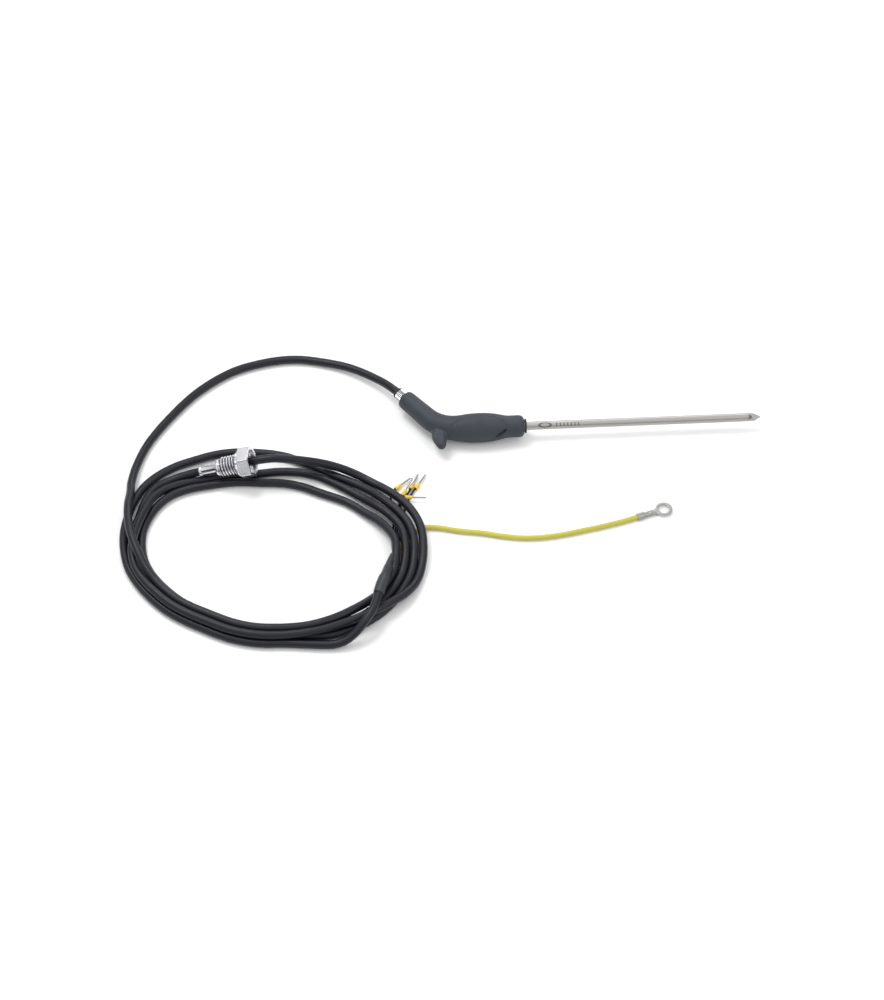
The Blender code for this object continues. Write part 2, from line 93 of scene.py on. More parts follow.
# Cable routes that are not coiled, in millimetres
ARC_ROUTE = [
    (-119, 35.8, 6.4), (-136, 48.8, 4.0), (-155, 56.3, 2.7), (-171, 59, 2.6), (-189, 57, 2.6),
    (-209, 50, 2.6), (-229, 35, 2.6), (-245, 16, 2.6), (-258, -4, 2.6), (-265, -22, 3.2),
    (-268, -37, 4.6),
]
LEAD_ROUTE = [
    (-134.6, -37.8, 4.3), (-144.4, -34.7, 7.4), (-155, -33.5, 11.0), (-168, -35, 16.4),
    (-182, -36, 20.0),
]
TAIL_ROUTE = [(-157, -161.8, 2.8), (-150, -161.8, 3.2), (-144, -160.5, 5), (-138.5, -157.2, 8),
              (-133.5, -152.6, 11.6), (-130, -148, 12.8), (-127.4, -142, 13), (-125.4, -135.6, 13.2),
              (-123.9, -130, 13.2)]
SLEEVE_ROUTE = [(-125.2, -135, 13.2), (-123.4, -128.5, 13), (-121.4, -122, 11.4), (-119.6, -114.4, 7.4),
                (-118, -107, 4), (-116, -101, 2.5)]
SLEEVE_END = Vector((-114.6, -97.2, 2.2)) * MM
CORE_ROUTES = [
    [(-115.4, -98, 2.2), (-115.7, -92, 1.2), (-115.6, -86, 0.75), (-114.6, -76, 0.7), (-114.4, -64, 0.7),
     (-115.2, -55, 0.8), (-114, -49.2, 1.2)],
    [(-115.0, -98, 3.0), (-114.8, -92, 1.6), (-114.4, -86, 0.9), (-112.9, -76, 0.7), (-111.9, -65, 0.7),
     (-109, -56.5, 0.7), (-106.4, -53.2, 0.9), (-104, -49.5, 1.3)],
    [(-114.2, -98, 1.6), (-112.8, -92, 0.8), (-111.5, -86, 0.7), (-109, -76, 0.7), (-107.8, -66, 0.7),
     (-105.9, -58.6, 0.7), (-102.9, -52.0, 1.0)],
    [(-114.2, -98, 2.6), (-113, -92, 2.2), (-112, -86, 2.0), (-110.4, -76, 2.0), (-109.6, -64, 2.0),
     (-109.8, -58, 2.2), (-108.6, -55.6, 2.6)],
    [(-114.8, -98, 1.4), (-113.8, -92, 1.8), (-113.2, -86, 2.1), (-112, -76, 2.0), (-111, -64, 1.9),
     (-110.2, -58.4, 1.1), (-109.2, -54.8, 0.75)],
]
EARTH_ROUTE = [
    (-114.8, -97.8, 2.1), (-110.4, -91, 1.7), (-105.5, -84.6, 1.6), (-100, -80, 1.6), (-94.6, -78, 1.6),
    (-87, -79, 1.6), (-75, -82, 1.6), (-63, -84, 1.6), (-51, -87, 1.6), (-39, -89, 1.6),
    (-27, -89, 1.6), (-15, -87.5, 1.6), (-3, -85, 1.6), (9, -82.4, 1.6), (20, -79.5, 1.6),
    (26, -77.65, 1.6), (31.2, -75.98, 1.6),
]

# Coil: the radius of its innermost strand at each heading, then each strand's place beside it
COIL_MIDDLE = Vector((-186.0, -90.0, 0.0)) * MM
COIL_INNER = [
    (0, 72.3), (30, 58.6), (60, 49.6), (90, 50.0), (120, 58.8), (150, 75.0), (165, 76.6), (180, 74.8),
    (210, 65.0), (240, 58.2), (270, 58.9), (300, 64.0), (330, 70.5),
]
# (angle travelled, distance outside the innermost strand, height): five turns laid one after the other
FIRST_TURNS = [
    (152, 17.8, 6.4), (157, 14.4, 9.0), (163, 10.0, 11.7), (170, 7.2, 12.8), (178, 4.6, 12.9),
    (186, 2.9, 11.4), (196, 2.55, 8.6), (206, 2.55, 6.95), (284, 2.55, 6.9), (297, 2.55, 7.6),
    (312, 1.8, 7.2), (322, 1.2, 5.2), (332, 1.2, 3.0), (340, 1.6, 2.9), (346, 1.8, 4.4),
    (353, 0.6, 6.9), (361, -0.6, 6.9), (368, -2.3, 5.8), (378, -2.4, 4.0), (390, -1.0, 2.6),
    (405, -0.5, 2.6), (420, 0.0, 2.6), (645, 0.0, 2.6), (664, 5.2, 2.6), (690, 6.0, 2.6),
    (702, 6.8, 2.9), (712, 6.2, 5.0), (720, 5.4, 5.8), (740, 5.8, 5.6), (757, 7.5, 2.6),
    (780, 11.0, 2.6), (802, 9.0, 2.6), (815, 7.3, 2.6), (830, 5.5, 2.6), (846, 5.35, 2.6),
    (858, 5.4, 3.5), (868, 4.7, 5.4), (875, 3.6, 6.9), (882, 2.6, 7.1), (890, 3.6, 7.5),
    (898, 5.2, 7.8), (906, 6.9, 7.4), (914, 7.65, 6.9), (994, 7.65, 6.9), (1004, 7.65, 7.4),
    (1017, 7.65, 7.6), (1032, 9.2, 7.9), (1041, 11.2, 7.8), (1048, 13.4, 7.0), (1056, 16.2, 5.0),
    (1064, 16.85, 3.2), (1072, 16.4, 4.9), (1080, 15.9, 5.8), (1105, 20.4, 5.0), (1118, 20.6, 3.2),
]
LAST_TURNS = [
    (1216, 11.6, 2.7), (1223, 11.2, 2.6), (1230, 8.9, 2.6), (1240, 5.6, 2.6), (1250, 5.1, 2.6),
    (1358, 5.1, 2.6), (1384, 10.6, 2.6), (1410, 11.2, 2.6), (1423, 11.9, 3.0), (1432, 11.3, 4.8),
    (1440, 10.5, 5.8), (1465, 12.7, 5.4), (1480, 14.8, 2.7), (1499, 16.1, 2.6), (1514, 18.3, 2.6),
    (1523, 21.1, 2.6), (1535, 23.6, 2.6), (1547, 24.6, 2.6), (1556, 24.0, 2.6), (1571, 21.6, 2.6),
    (1580, 18.4, 2.6), (1590, 15.0, 2.6), (1605, 11.4, 2.6), (1620, 10.3, 2.6), (1715, 10.4, 2.6),
]
COIL_STEP = 8


# ---------------------------------------------------------------- settings

def length_property(name, description, default, low, high):
    """A length stated in millimetres and kept in metres."""
    return FloatProperty(name=name, description=description, default=default * MM, min=low * MM,
                         max=high * MM, unit="LENGTH", precision=5)


class ProbeSizes(bpy.types.PropertyGroup):
    """Sizes that a user may change."""
    cable_diameter: length_property("Cable diameter", "Outside of the black cable", 5.0, 2.0, 8.0)
    core_diameter: length_property("Core diameter", "Outside of one thin core", 1.2, 0.5, 2.0)
    earth_diameter: length_property("Earth wire diameter", "Outside of the earth wire", 3.0, 1.0, 4.0)
    sleeve_diameter: length_property("Sleeve diameter", "Outside of the shrink sleeve", 6.6, 5.2, 8.0)
    thread_radius: length_property("Thread radius", "Crest radius of the gland thread", 6.0, 4.0, 8.0)
    thread_pitch: length_property("Thread pitch", "Travel of the nut in one turn", 1.75, 0.5, 3.0)
    nut_flats: length_property("Nut across flats", "Spanner size of the nut", 17.0, 14.0, 22.0)
    pad_depth: length_property("Thumb pad groove", "Depth of the groove round the thumb pad", 0.35, 0.0, 1.0)
    knurl_ribs: IntProperty(name="Ferrule ribs", description="Ribs round the rear ferrule", default=26, min=8,
                            max=60)


def colour_property(name, description, default):
    return FloatVectorProperty(name=name, description=description, default=default, min=0.0, max=1.0,
                               size=3, subtype="COLOR")


class ProbeColours(bpy.types.PropertyGroup):
    """Colours that a user may change."""
    grip: colour_property("Grip", "Moulded handle", (0.035, 0.042, 0.053))
    steel: colour_property("Steel", "Needle", (0.40, 0.39, 0.375))
    nickel: colour_property("Nickel", "Gland, nut and ferrule", (0.78, 0.78, 0.82))
    tin: colour_property("Tin", "Pins and ring terminal", (0.36, 0.36, 0.35))
    jacket: colour_property("Jacket", "Main cable and cores", (0.0055, 0.006, 0.0095))
    shrink: colour_property("Sleeve", "Shrink sleeve on the cable's end", (0.020, 0.022, 0.026))
    yellow: colour_property("Collars", "Ferrule collars", (0.74, 0.52, 0.035))
    earth: colour_property("Earth", "Earth wire", (0.50, 0.46, 0.05))
    rubber: colour_property("Rubber", "Seals and lip", (0.018, 0.018, 0.02))
    resin: colour_property("Resin", "Potting in the grip", (0.06, 0.04, 0.03))
    ceramic: colour_property("Ceramic", "Sensing element and splices", (0.8, 0.78, 0.72))
    mark: colour_property("Marks", "Plain marks on the needle", (0.10, 0.10, 0.11))


class ProbeStage(bpy.types.PropertyGroup):
    """Floor, light and camera."""
    floor: colour_property("Floor", "Plain pale floor", (0.93, 0.93, 0.93))
    world_light: FloatProperty(name="World light", description="Strength of the even light", default=1.12)
    key_power: FloatProperty(name="Key light", description="Power of the main lamp in watts", default=6.5)
    elevation: FloatProperty(name="Elevation", description="Camera angle above the floor",
                             default=math.radians(50.0), subtype="ANGLE")
    azimuth: FloatProperty(name="Azimuth", description="Camera angle round the object",
                           default=math.radians(-3.0), subtype="ANGLE")
    distance: FloatProperty(name="Distance", description="From the camera to the point it looks at",
                            default=1.64135, unit="LENGTH")


# ---------------------------------------------------------------- shader maths

class Signal:
    """One shader socket; sums and products of signals add Math nodes."""

    def __init__(self, paint, socket):
        self.paint = paint
        self.socket = socket

    def math(self, operation, left, right):
        return self.paint.node("ShaderNodeMath", {"operation": operation}, {0: left, 1: right})

    def __add__(self, other):
        return self.math("ADD", self, other)

    def __radd__(self, other):
        return self.math("ADD", other, self)

    def __sub__(self, other):
        return self.math("SUBTRACT", self, other)

    def __rsub__(self, other):
        return self.math("SUBTRACT", other, self)

    def __mul__(self, other):
        return self.math("MULTIPLY", self, other)

    def __rmul__(self, other):
        return self.math("MULTIPLY", other, self)

    def __truediv__(self, other):
        return self.math("DIVIDE", self, other)

    def __gt__(self, other):
        return self.math("GREATER_THAN", self, other)

    def __lt__(self, other):
        return self.math("LESS_THAN", self, other)


def put(tree, socket, value):
    """Link a signal to a socket, or set the socket's value."""
    if isinstance(value, Signal):
        tree.links.new(value.socket, socket)
    else:
        socket.default_value = value


class Paint:
    """A node tree and the nodes that are added to it."""

    def __init__(self, tree, shader):
        self.tree = tree
        self.shader = tree.nodes[shader]

    def node(self, kind, settings=None, sockets=None, output=0):
        """Add a node: its settings first, then the values or links of its sockets."""
        made = self.tree.nodes.new(kind)
        for name, value in (settings or {}).items():
            if name == "stops":
                for stop, (place, colour) in zip(made.color_ramp.elements, value):
                    stop.position = place
                    stop.color = (*colour, 1.0)
            else:
                setattr(made, name, value)
        for key, value in (sockets or {}).items():
            put(self.tree, made.inputs[key], value)
        return Signal(self, made.outputs[output])

    def place(self, scale=(1.0, 1.0, 1.0)):
        """Object coordinates in metres, stretched by a scale for each axis."""
        spot = self.node("ShaderNodeTexCoord", output=3)
        return self.node("ShaderNodeVectorMath", {"operation": "MULTIPLY"}, {0: spot, 1: scale})

    def along(self, scale=(1.0, 1.0, 1.0)):
        """Coordinates (turns round the piece, metres along it), stretched by a scale."""
        spot = self.node("ShaderNodeUVMap", {"uv_map": "round_along"})
        return self.node("ShaderNodeVectorMath", {"operation": "MULTIPLY"}, {0: spot, 1: scale})

    def noise(self, where, scale, detail=3.0, roughness=0.55):
        return self.node("ShaderNodeTexNoise", None,
                         {"Vector": where, "Scale": scale, "Detail": detail, "Roughness": roughness})

    def ramp(self, value, *stops):
        """Grey ramp between two (place, level) stops."""
        greys = [(place, (level, level, level)) for place, level in stops]
        return self.node("ShaderNodeValToRGB", {"stops": greys}, {0: value})

    def mix(self, factor, first, second):
        """Blend two colours; a plain colour has three numbers."""
        def full(value):
            return value if isinstance(value, Signal) else (*value, 1.0)
        sockets = {0: factor, 6: full(first), 7: full(second)}
        return self.node("ShaderNodeMix", {"data_type": "RGBA"}, sockets, 2)

    def shades(self, tone, colour, dark, light):
        """A colour between its darker and lighter shade."""
        return self.mix(tone, darker(colour, dark), darker(colour, light))

    def bump(self, height, distance, strength):
        sockets = {"Height": height, "Distance": distance * MM, "Strength": strength}
        self.set(Normal=self.node("ShaderNodeBump", None, sockets))

    def set(self, **sockets):
        """Set shader sockets by name, with _ for a space."""
        for name, value in sockets.items():
            put(self.tree, self.shader.inputs[name.replace("_", " ")], value)


def darker(colour, share):
    return tuple(c * share for c in colour)


def grip_finish(paint, colour):
    broad = paint.noise(paint.place(), 55.0, 3.0)
    grain = paint.noise(paint.place(), 2600.0, 2.0)
    tone = paint.ramp(broad, (0.3, 0.0), (0.7, 1.0))
    paint.bump(grain + 0.25 * broad, 0.05, 0.35)
    paint.set(Base_Color=paint.shades(tone, colour, 0.86, 1.16), Roughness=0.5 + 0.16 * grain,
              Specular_IOR_Level=0.35)


def steel_finish(paint, colour):
    """Brushed steel with a plain dark oval and seven ticks printed near the handle."""
    brushed = paint.noise(paint.along((60.0, 18.0, 1.0)), 3.0, 4.0, 0.6)
    fine = paint.noise(paint.along((420.0, 30.0, 1.0)), 1.0, 2.0)
    paint.bump(fine, 0.02, 0.25)
    marks = needle_marks(paint)
    metal = paint.shades(brushed, colour, 0.74, 1.18)
    print_colour = bpy.context.scene.probe_colours.mark
    paint.set(Base_Color=paint.mix(marks, metal, print_colour), Roughness=0.27 + 0.2 * brushed,
              Metallic=1.0 - 0.8 * marks)


def needle_marks(paint):
    """Mask of an oval ring and seven ticks on the upper side, by turns round and metres along."""
    oval_middle = 12.5 * MM
    oval_length = 4.2 * MM
    oval_width = 1.7 * MM
    tick_width = 0.32 * MM
    tick_height = 1.15 * MM
    spot = paint.node("ShaderNodeUVMap", {"uv_map": "round_along"})
    turns = paint.node("ShaderNodeSeparateXYZ", None, {0: spot})
    metres = Signal(paint, turns.socket.node.outputs["Y"])
    across = (turns - MARK_TURN) * (2 * math.pi * NEEDLE_RADIUS)
    oval = (metres - oval_middle) / oval_length
    side = across / oval_width
    reach = oval * oval + side * side
    mask = (reach < 1.0) * (reach > 0.4)
    bar = across / tick_height
    for number in range(7):
        step = (metres - (19.5 + 2.2 * number) * MM) / tick_width
        mask = mask + (step * step < 1.0) * (bar * bar < 1.0)
    return mask


def plate_finish(paint, colour, roughness, scale, groove_shade=None):
    """Plated metal with faint stains, fine polishing marks and painted shade darkening its grooves."""
    stain = paint.noise(paint.place(), scale, 4.0)
    fine = paint.noise(paint.place(), scale * 14.0, 2.0)
    paint.bump(fine, 0.03, 0.25)
    metal = paint.shades(stain, colour, 0.82, 1.0)
    if groove_shade:
        # Painted shade: the grooves are blended towards a near-black shade of the metal.
        metal = paint.mix(groove_shade(paint), metal, darker(colour, 0.12))
    paint.set(Base_Color=metal, Roughness=(roughness - 0.07) + 0.16 * stain, Metallic=1.0)


def painted_groove_shade(paint, centre, direction, root, depth, start, end):
    """Mask of painted shade in the grooves of a turned part, by the distance from its axis and the place along it.
    """
    spot = paint.node("ShaderNodeTexCoord", output=3)
    offset = paint.node("ShaderNodeVectorMath", {"operation": "SUBTRACT"}, {0: spot, 1: centre})
    along = paint.node("ShaderNodeVectorMath", {"operation": "DOT_PRODUCT"}, {0: offset, 1: direction}, 1)
    across = paint.node("ShaderNodeVectorMath", {"operation": "CROSS_PRODUCT"}, {0: offset, 1: direction})
    away = paint.node("ShaderNodeVectorMath", {"operation": "LENGTH"}, {0: across}, 1)
    # Painted shade: strongest at the groove's root, fading towards the crest.
    root_shade = paint.ramp((away - root) / depth, (0.0, 1.0), (0.8, 0.0))
    return root_shade * (away > root - 0.35 * MM) * (along > start) * (along < end)


def plating_groove_shade(paint):
    """Painted shade in the gland's thread and between the rear ferrule's ribs."""
    root = bpy.context.scene.probe_sizes.thread_radius - THREAD_DEPTH * MM
    thread = painted_groove_shade(paint, GLAND_CENTRE, GLAND_DIRECTION, root, THREAD_DEPTH * MM,
                         THREAD_START * MM, (THREAD_END - 0.3) * MM)
    root = (FERRULE_RADIUS - KNURL_DEPTH) * MM
    knurl = painted_groove_shade(paint, LEG_END, LEG_DIRECTION, root, KNURL_DEPTH * MM, -2.0 * MM, 4.3 * MM)
    return thread + knurl


def jacket_finish(paint, colour):
    """Satin black sheath with drawn lines along its length as relief, and its colour lighter along them as painted
    highlight streaks.
    """
    drawn_lines_and_sheen = paint.noise(paint.along((26.0, 9.0, 1.0)), 1.0, 3.0)
    dust = paint.noise(paint.place(), 320.0, 3.0)
    # Painted highlight: along the lengthwise streaks the colour rises to 2.4 times the jacket's own.
    tone = paint.ramp(drawn_lines_and_sheen, (0.35, 0.0), (0.75, 1.0))
    paint.bump(drawn_lines_and_sheen + 0.3 * dust, 0.12, 0.45)
    paint.set(Base_Color=paint.shades(tone, colour, 0.7, 2.4), Roughness=0.3 + 0.2 * dust,
              Specular_IOR_Level=0.32)


def shrink_finish(paint, colour):
    """Shrunk tube with fine wrinkles across it."""
    wrinkles = paint.noise(paint.along((3.0, 900.0, 1.0)), 1.0, 3.0)
    cloud = paint.noise(paint.place(), 160.0, 3.0)
    paint.bump(wrinkles, 0.12, 0.6)
    paint.set(Base_Color=paint.shades(cloud, colour, 0.75, 1.6), Roughness=0.4 + 0.18 * cloud)


def earth_finish(paint, colour):
    """Yellow green insulation with a faint lengthwise tone."""
    stripe = paint.noise(paint.along((3.0, 12.0, 1.0)), 1.0, 2.0)
    grain = paint.noise(paint.place(), 900.0, 2.0)
    paint.bump(grain, 0.03, 0.4)
    paint.set(Base_Color=paint.shades(stripe, colour, 0.85, 1.12), Roughness=0.36 + 0.12 * grain)


def soft_finish(paint, colour, roughness, scale):
    """Moulded plastic, rubber, resin or ceramic with a mottled colour and fine grain."""
    cloud = paint.noise(paint.place(), scale, 3.0)
    grain = paint.noise(paint.place(), scale * 9.0, 2.0)
    paint.bump(grain, 0.04, 0.4)
    tone = paint.shades(cloud, colour, 0.8, 1.15)
    paint.set(Base_Color=tone, Roughness=(roughness - 0.06) + 0.14 * grain)


def floor_finish(paint, colour):
    paint.set(Base_Color=(*colour, 1.0), Roughness=0.85, Specular_IOR_Level=0.1)


def new_material(name, paint_it, colour, *details):
    """A material with one Principled shader, painted by a function."""
    material = bpy.data.materials.new(name)
    material.use_nodes = True
    paint_it(Paint(material.node_tree, "Principled BSDF"), colour, *details)
    return material


# Each slot's finish: its function, its colour's name and the function's other arguments
FINISHES = {
    "grip_plastic": (grip_finish, "grip"),
    "needle_steel": (steel_finish, "steel"),
    # The nickel plate gets painted shade in its thread and between the ferrule's ribs.
    "nickel_plate": (plate_finish, "nickel", 0.2, 140.0, plating_groove_shade),
    "tin_plate": (plate_finish, "tin", 0.34, 220.0),
    "cable_jacket": (jacket_finish, "jacket"),
    "shrink_sleeve": (shrink_finish, "shrink"),
    "yellow_collar": (soft_finish, "yellow", 0.4, 420.0),
    "earth_insulation": (earth_finish, "earth"),
    "black_rubber": (soft_finish, "rubber", 0.62, 500.0),
    "potting_resin": (soft_finish, "resin", 0.38, 260.0),
    "ceramic": (soft_finish, "ceramic", 0.5, 380.0),
}


def finish(slot):
    """The material of a slot, made the first time that it is asked for."""
    found = bpy.data.materials.get(slot + "_look")
    if found is None:
        paint_it, colour, *details = FINISHES[slot]
        tint = getattr(bpy.context.scene.probe_colours, colour)
        found = new_material(slot + "_look", paint_it, tint, *details)
    return found


# ---------------------------------------------------------------- shapes

def value_at(keys, x):
    """Smooth value through (place, value) keys that never swings past them."""
    for k in range(len(keys) - 1):
        if x <= keys[k + 1][0] or k == len(keys) - 2:
            break
    slopes = []
    for i in (k, k + 1):
        if i == 0 or i == len(keys) - 1:
            slopes.append(0.0)
            continue
        before = (keys[i][1] - keys[i - 1][1]) / (keys[i][0] - keys[i - 1][0])
        after = (keys[i + 1][1] - keys[i][1]) / (keys[i + 1][0] - keys[i][0])
        slopes.append(0.0 if before * after <= 0 else 2 * before * after / (before + after))
    span = keys[k + 1][0] - keys[k][0]
    t = min(1.0, max(0.0, (x - keys[k][0]) / span))
    return ((1 + 2 * t) * (1 - t) ** 2 * keys[k][1] + t * (1 - t) ** 2 * span * slopes[0]
            + t * t * (3 - 2 * t) * keys[k + 1][1] + t * t * (t - 1) * span * slopes[1])


def smooth_path(points, spacing):
    """Even points along a Catmull-Rom curve through points of three or four numbers."""
    ends = [points[0] * 2 - points[1]] + list(points) + [points[-1] * 2 - points[-2]]
    fine = []
    samples = 12
    for k in range(1, len(ends) - 2):
        a, b, c, d = ends[k - 1:k + 3]
        for j in range(samples):
            t = j / samples
            fine.append(0.5 * (2 * b + (c - a) * t + (2 * a - 5 * b + 4 * c - d) * t * t
                               + (3 * b - a - 3 * c + d) * t ** 3))
    fine.append(points[-1])
    lengths = [0.0]
    for a, b in zip(fine, fine[1:]):
        lengths.append(lengths[-1] + (b - a).length)
    count = max(2, round(lengths[-1] / spacing) + 1)
    even = []
    k = 0
    for i in range(count):
        target = lengths[-1] * i / (count - 1)
        while k < len(fine) - 2 and lengths[k + 1] < target:
            k += 1
        share = (target - lengths[k]) / (lengths[k + 1] - lengths[k])
        even.append(fine[k].lerp(fine[k + 1], min(1.0, share)))
    return even


def millimetres(route):
    return [Vector(point) * MM for point in route]


def path_length(points):
    return sum((b - a).length for a, b in zip(points, points[1:]))


def axis_matrix(point, direction):
    """Matrix that puts local +Z along a direction at a point."""
    turn = Vector(direction).to_track_quat("Z", "Y").to_matrix().to_4x4()
    return Matrix.Translation(point) @ turn


def linked(name, data):
    """A new object in the scene's collection."""
    made = bpy.data.objects.new(name, data)
    bpy.context.scene.collection.objects.link(made)
    return made


def circle(count):
    """Evenly spaced angles round a circle."""
    return [2 * math.pi * k / count for k in range(count)]


def smoothed(mesh, crease):
    """Smooth shading, with edges sharper than the crease angle kept."""
    mesh.shade_smooth()
    mesh.set_sharp_from_angle(angle=math.radians(crease))
    return mesh


def add_piece(name, mesh, slot, replaced, body="probe"):
    """Link a mesh as a named piece with its finish, body and the nodes that it stands for."""
    piece = linked(name, mesh)
    mesh.materials.clear()
    mesh.materials.append(finish(slot))
    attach(piece, body)
    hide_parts(*replaced)
    return piece


def add_turned(name, profile, matrix, steps, slot, node, shape=None, body="probe", crease=35.0):
    """Add a piece turned from a closed profile, which stands for one node."""
    mesh = spun_mesh(name, profile, matrix, steps, True, shape, crease)
    return add_piece(name, mesh, slot, (node,), body)


def add_cord(name, points, diameter, sides, slot, nodes, pieces):
    """Add a cord as a round tube along its route."""
    cord = add_piece(name, tube_mesh(name, points, diameter / 2, sides), slot, nodes)
    path_length(points)


def ring_mesh(name, rings, distances, closed_along=False, crease=35.0):
    """Skin a list of equal rings of points; rings on the axis close to a point."""
    shape = bmesh.new()
    layer = shape.loops.layers.uv.new("round_along")
    count = len(rings[0])
    rows = [[shape.verts.new(point) for point in ring] for ring in rings]
    pairs = [(i, i + 1) for i in range(len(rows) - 1)]
    if closed_along:
        pairs.append((len(rows) - 1, 0))
    for i, j in pairs:
        start = distances[i]
        end = distances[j] if j else distances[i] + (rings[0][0] - rings[i][0]).length
        for k in range(count):
            m = (k + 1) % count
            face = shape.faces.new((rows[i][k], rows[i][m], rows[j][m], rows[j][k]))
            spots = ((k, start), (k + 1, start), (k + 1, end), (k, end))
            for loop, (turn, along) in zip(face.loops, spots):
                loop[layer].uv = (turn / count, along)
    if not closed_along:
        for row in (rows[0], rows[-1]):
            if (row[0].co - row[count // 2].co).length > 1e-7:
                shape.faces.new(row)
    bmesh.ops.remove_doubles(shape, verts=shape.verts, dist=1e-7)
    bmesh.ops.dissolve_degenerate(shape, edges=shape.edges, dist=1e-7)
    bmesh.ops.recalc_face_normals(shape, faces=shape.faces)
    mesh = bpy.data.meshes.new(name)
    shape.to_mesh(mesh)
    shape.free()
    return smoothed(mesh, crease)


def tube_mesh(name, path, radii, sides=20, shape=None, up=(0, 0, 1), crease=35.0):
    """A bar along a path, its frame carried along without twist.

    shape(distance, angle) scales the radius, so a bar can be oval, ribbed or dented."""
    tangents = []
    for i in range(len(path)):
        tangents.append((path[min(i + 1, len(path) - 1)] - path[max(i - 1, 0)]).normalized())
    side = Vector(up).cross(tangents[0]).normalized()
    rings = []
    distances = []
    travelled = 0.0
    for i, point in enumerate(path):
        if i:
            travelled += (point - path[i - 1]).length
            side = (side - tangents[i] * side.dot(tangents[i])).normalized()
        other = tangents[i].cross(side)
        radius = radii[i] if isinstance(radii, list) else radii
        ring = []
        for angle in circle(sides):
            reach = radius * (shape(travelled, angle) if shape else 1.0)
            ring.append(point + (side * math.cos(angle) + other * math.sin(angle)) * reach)
        rings.append(ring)
        distances.append(travelled)
    return ring_mesh(name, rings, distances, crease=crease)


def softened(profile, size, closed=False):
    """Round the corners of a (distance, radius) profile with short arcs of three points."""
    points = [Vector(p) for p in profile]
    soft = []
    last = len(points) - 1
    for i, point in enumerate(points):
        if not closed and i in (0, last):
            soft.append(point)
            continue
        before = points[i - 1] - point
        after = points[(i + 1) % len(points)] - point
        cut = min(size, before.length * 0.45, after.length * 0.45)
        start = point + before.normalized() * cut
        end = point + after.normalized() * cut
        soft += [start, (start + end) * 0.25 + point * 0.5, end]
    return [(p[0], p[1]) for p in soft]


def spun_mesh(name, profile, matrix, steps=64, closed=False, shape=None, crease=35.0):
    """Turn a profile of (distance along the axis, radius), in millimetres, round local Z.

    shape(along, radius, angle) may give a new (along, radius), for threads, teeth and flats."""
    rings = []
    distances = []
    travelled = 0.0
    for i, (along, radius) in enumerate(profile):
        if i:
            travelled += math.dist(profile[i - 1], profile[i]) * MM
        ring = []
        for angle in circle(steps):
            place, reach = shape(along, radius, angle) if shape else (along, radius)
            ring.append(matrix @ (Vector((reach * math.cos(angle), reach * math.sin(angle), place)) * MM))
        rings.append(ring)
        distances.append(travelled)
    return ring_mesh(name, rings, distances, closed, crease)


def stations(start, end, step):
    """Evenly spaced numbers from start to end, both included."""
    count = max(1, round(abs(end - start) / step))
    return [start + (end - start) * i / count for i in range(count + 1)]


def with_booleans(mesh, cutters, operation):
    """Apply Boolean steps to a mesh and return the new mesh."""
    work = linked("work", mesh)
    tools = [linked("tool", other) for other in cutters]
    for tool in tools:
        step = work.modifiers.new("cut", "BOOLEAN")
        step.operation = operation
        step.object = tool
        step.solver = "EXACT"
    return applied(work, tools)


def applied(work, extras=()):
    """The evaluated mesh of a working object, which is then removed with its helpers."""
    depsgraph = bpy.context.evaluated_depsgraph_get()
    mesh = bpy.data.meshes.new_from_object(work.evaluated_get(depsgraph))
    for extra in (work, *extras):
        bpy.data.objects.remove(extra)
    return mesh


def tooth_wave(turns):
    """Triangle wave from 0 to 1 and back in one turn."""
    part = turns % 1.0
    return 1.0 - abs(2.0 * part - 1.0)


# ---------------------------------------------------------------- cable

def coil_points(stages):
    """Points of the coil's turns, every few degrees, from the stages of its strands."""
    around = [(heading + turn, radius) for turn in (-360, 0, 360) for heading, radius in COIL_INNER]
    shifts = [(angle, shift) for angle, shift, height in stages]
    heights = [(angle, height) for angle, shift, height in stages]
    count = round((stages[-1][0] - stages[0][0]) / COIL_STEP)
    points = []
    for i in range(count + 1):
        travelled = stages[0][0] + (stages[-1][0] - stages[0][0]) * i / count
        heading = math.radians(travelled)
        radius = (value_at(around, travelled % 360) + value_at(shifts, travelled)) * MM
        spot = COIL_MIDDLE + Vector((math.cos(heading), math.sin(heading), 0)) * radius
        points.append(spot + Vector((0, 0, value_at(heights, travelled) * MM)))
    return points


def gland_point(along):
    """A point on the gland's axis, in millimetres from the middle of the nut at rest."""
    return GLAND_CENTRE + GLAND_DIRECTION * along * MM


def cable_points():
    """The whole cable, from inside the grip's leg to the shrink sleeve."""
    start = [LEG_END - LEG_DIRECTION * 14 * MM, LEG_END, LEG_END + LEG_DIRECTION * 9 * MM]
    through_gland = [gland_point(along) for along in (8, 0, -10, -20, -29.7, -34.5)]
    route = (start + millimetres(ARC_ROUTE) + coil_points(FIRST_TURNS) + millimetres(LEAD_ROUTE)
             + through_gland + coil_points(LAST_TURNS) + millimetres(TAIL_ROUTE))
    return smooth_path(route, 3.0 * MM)


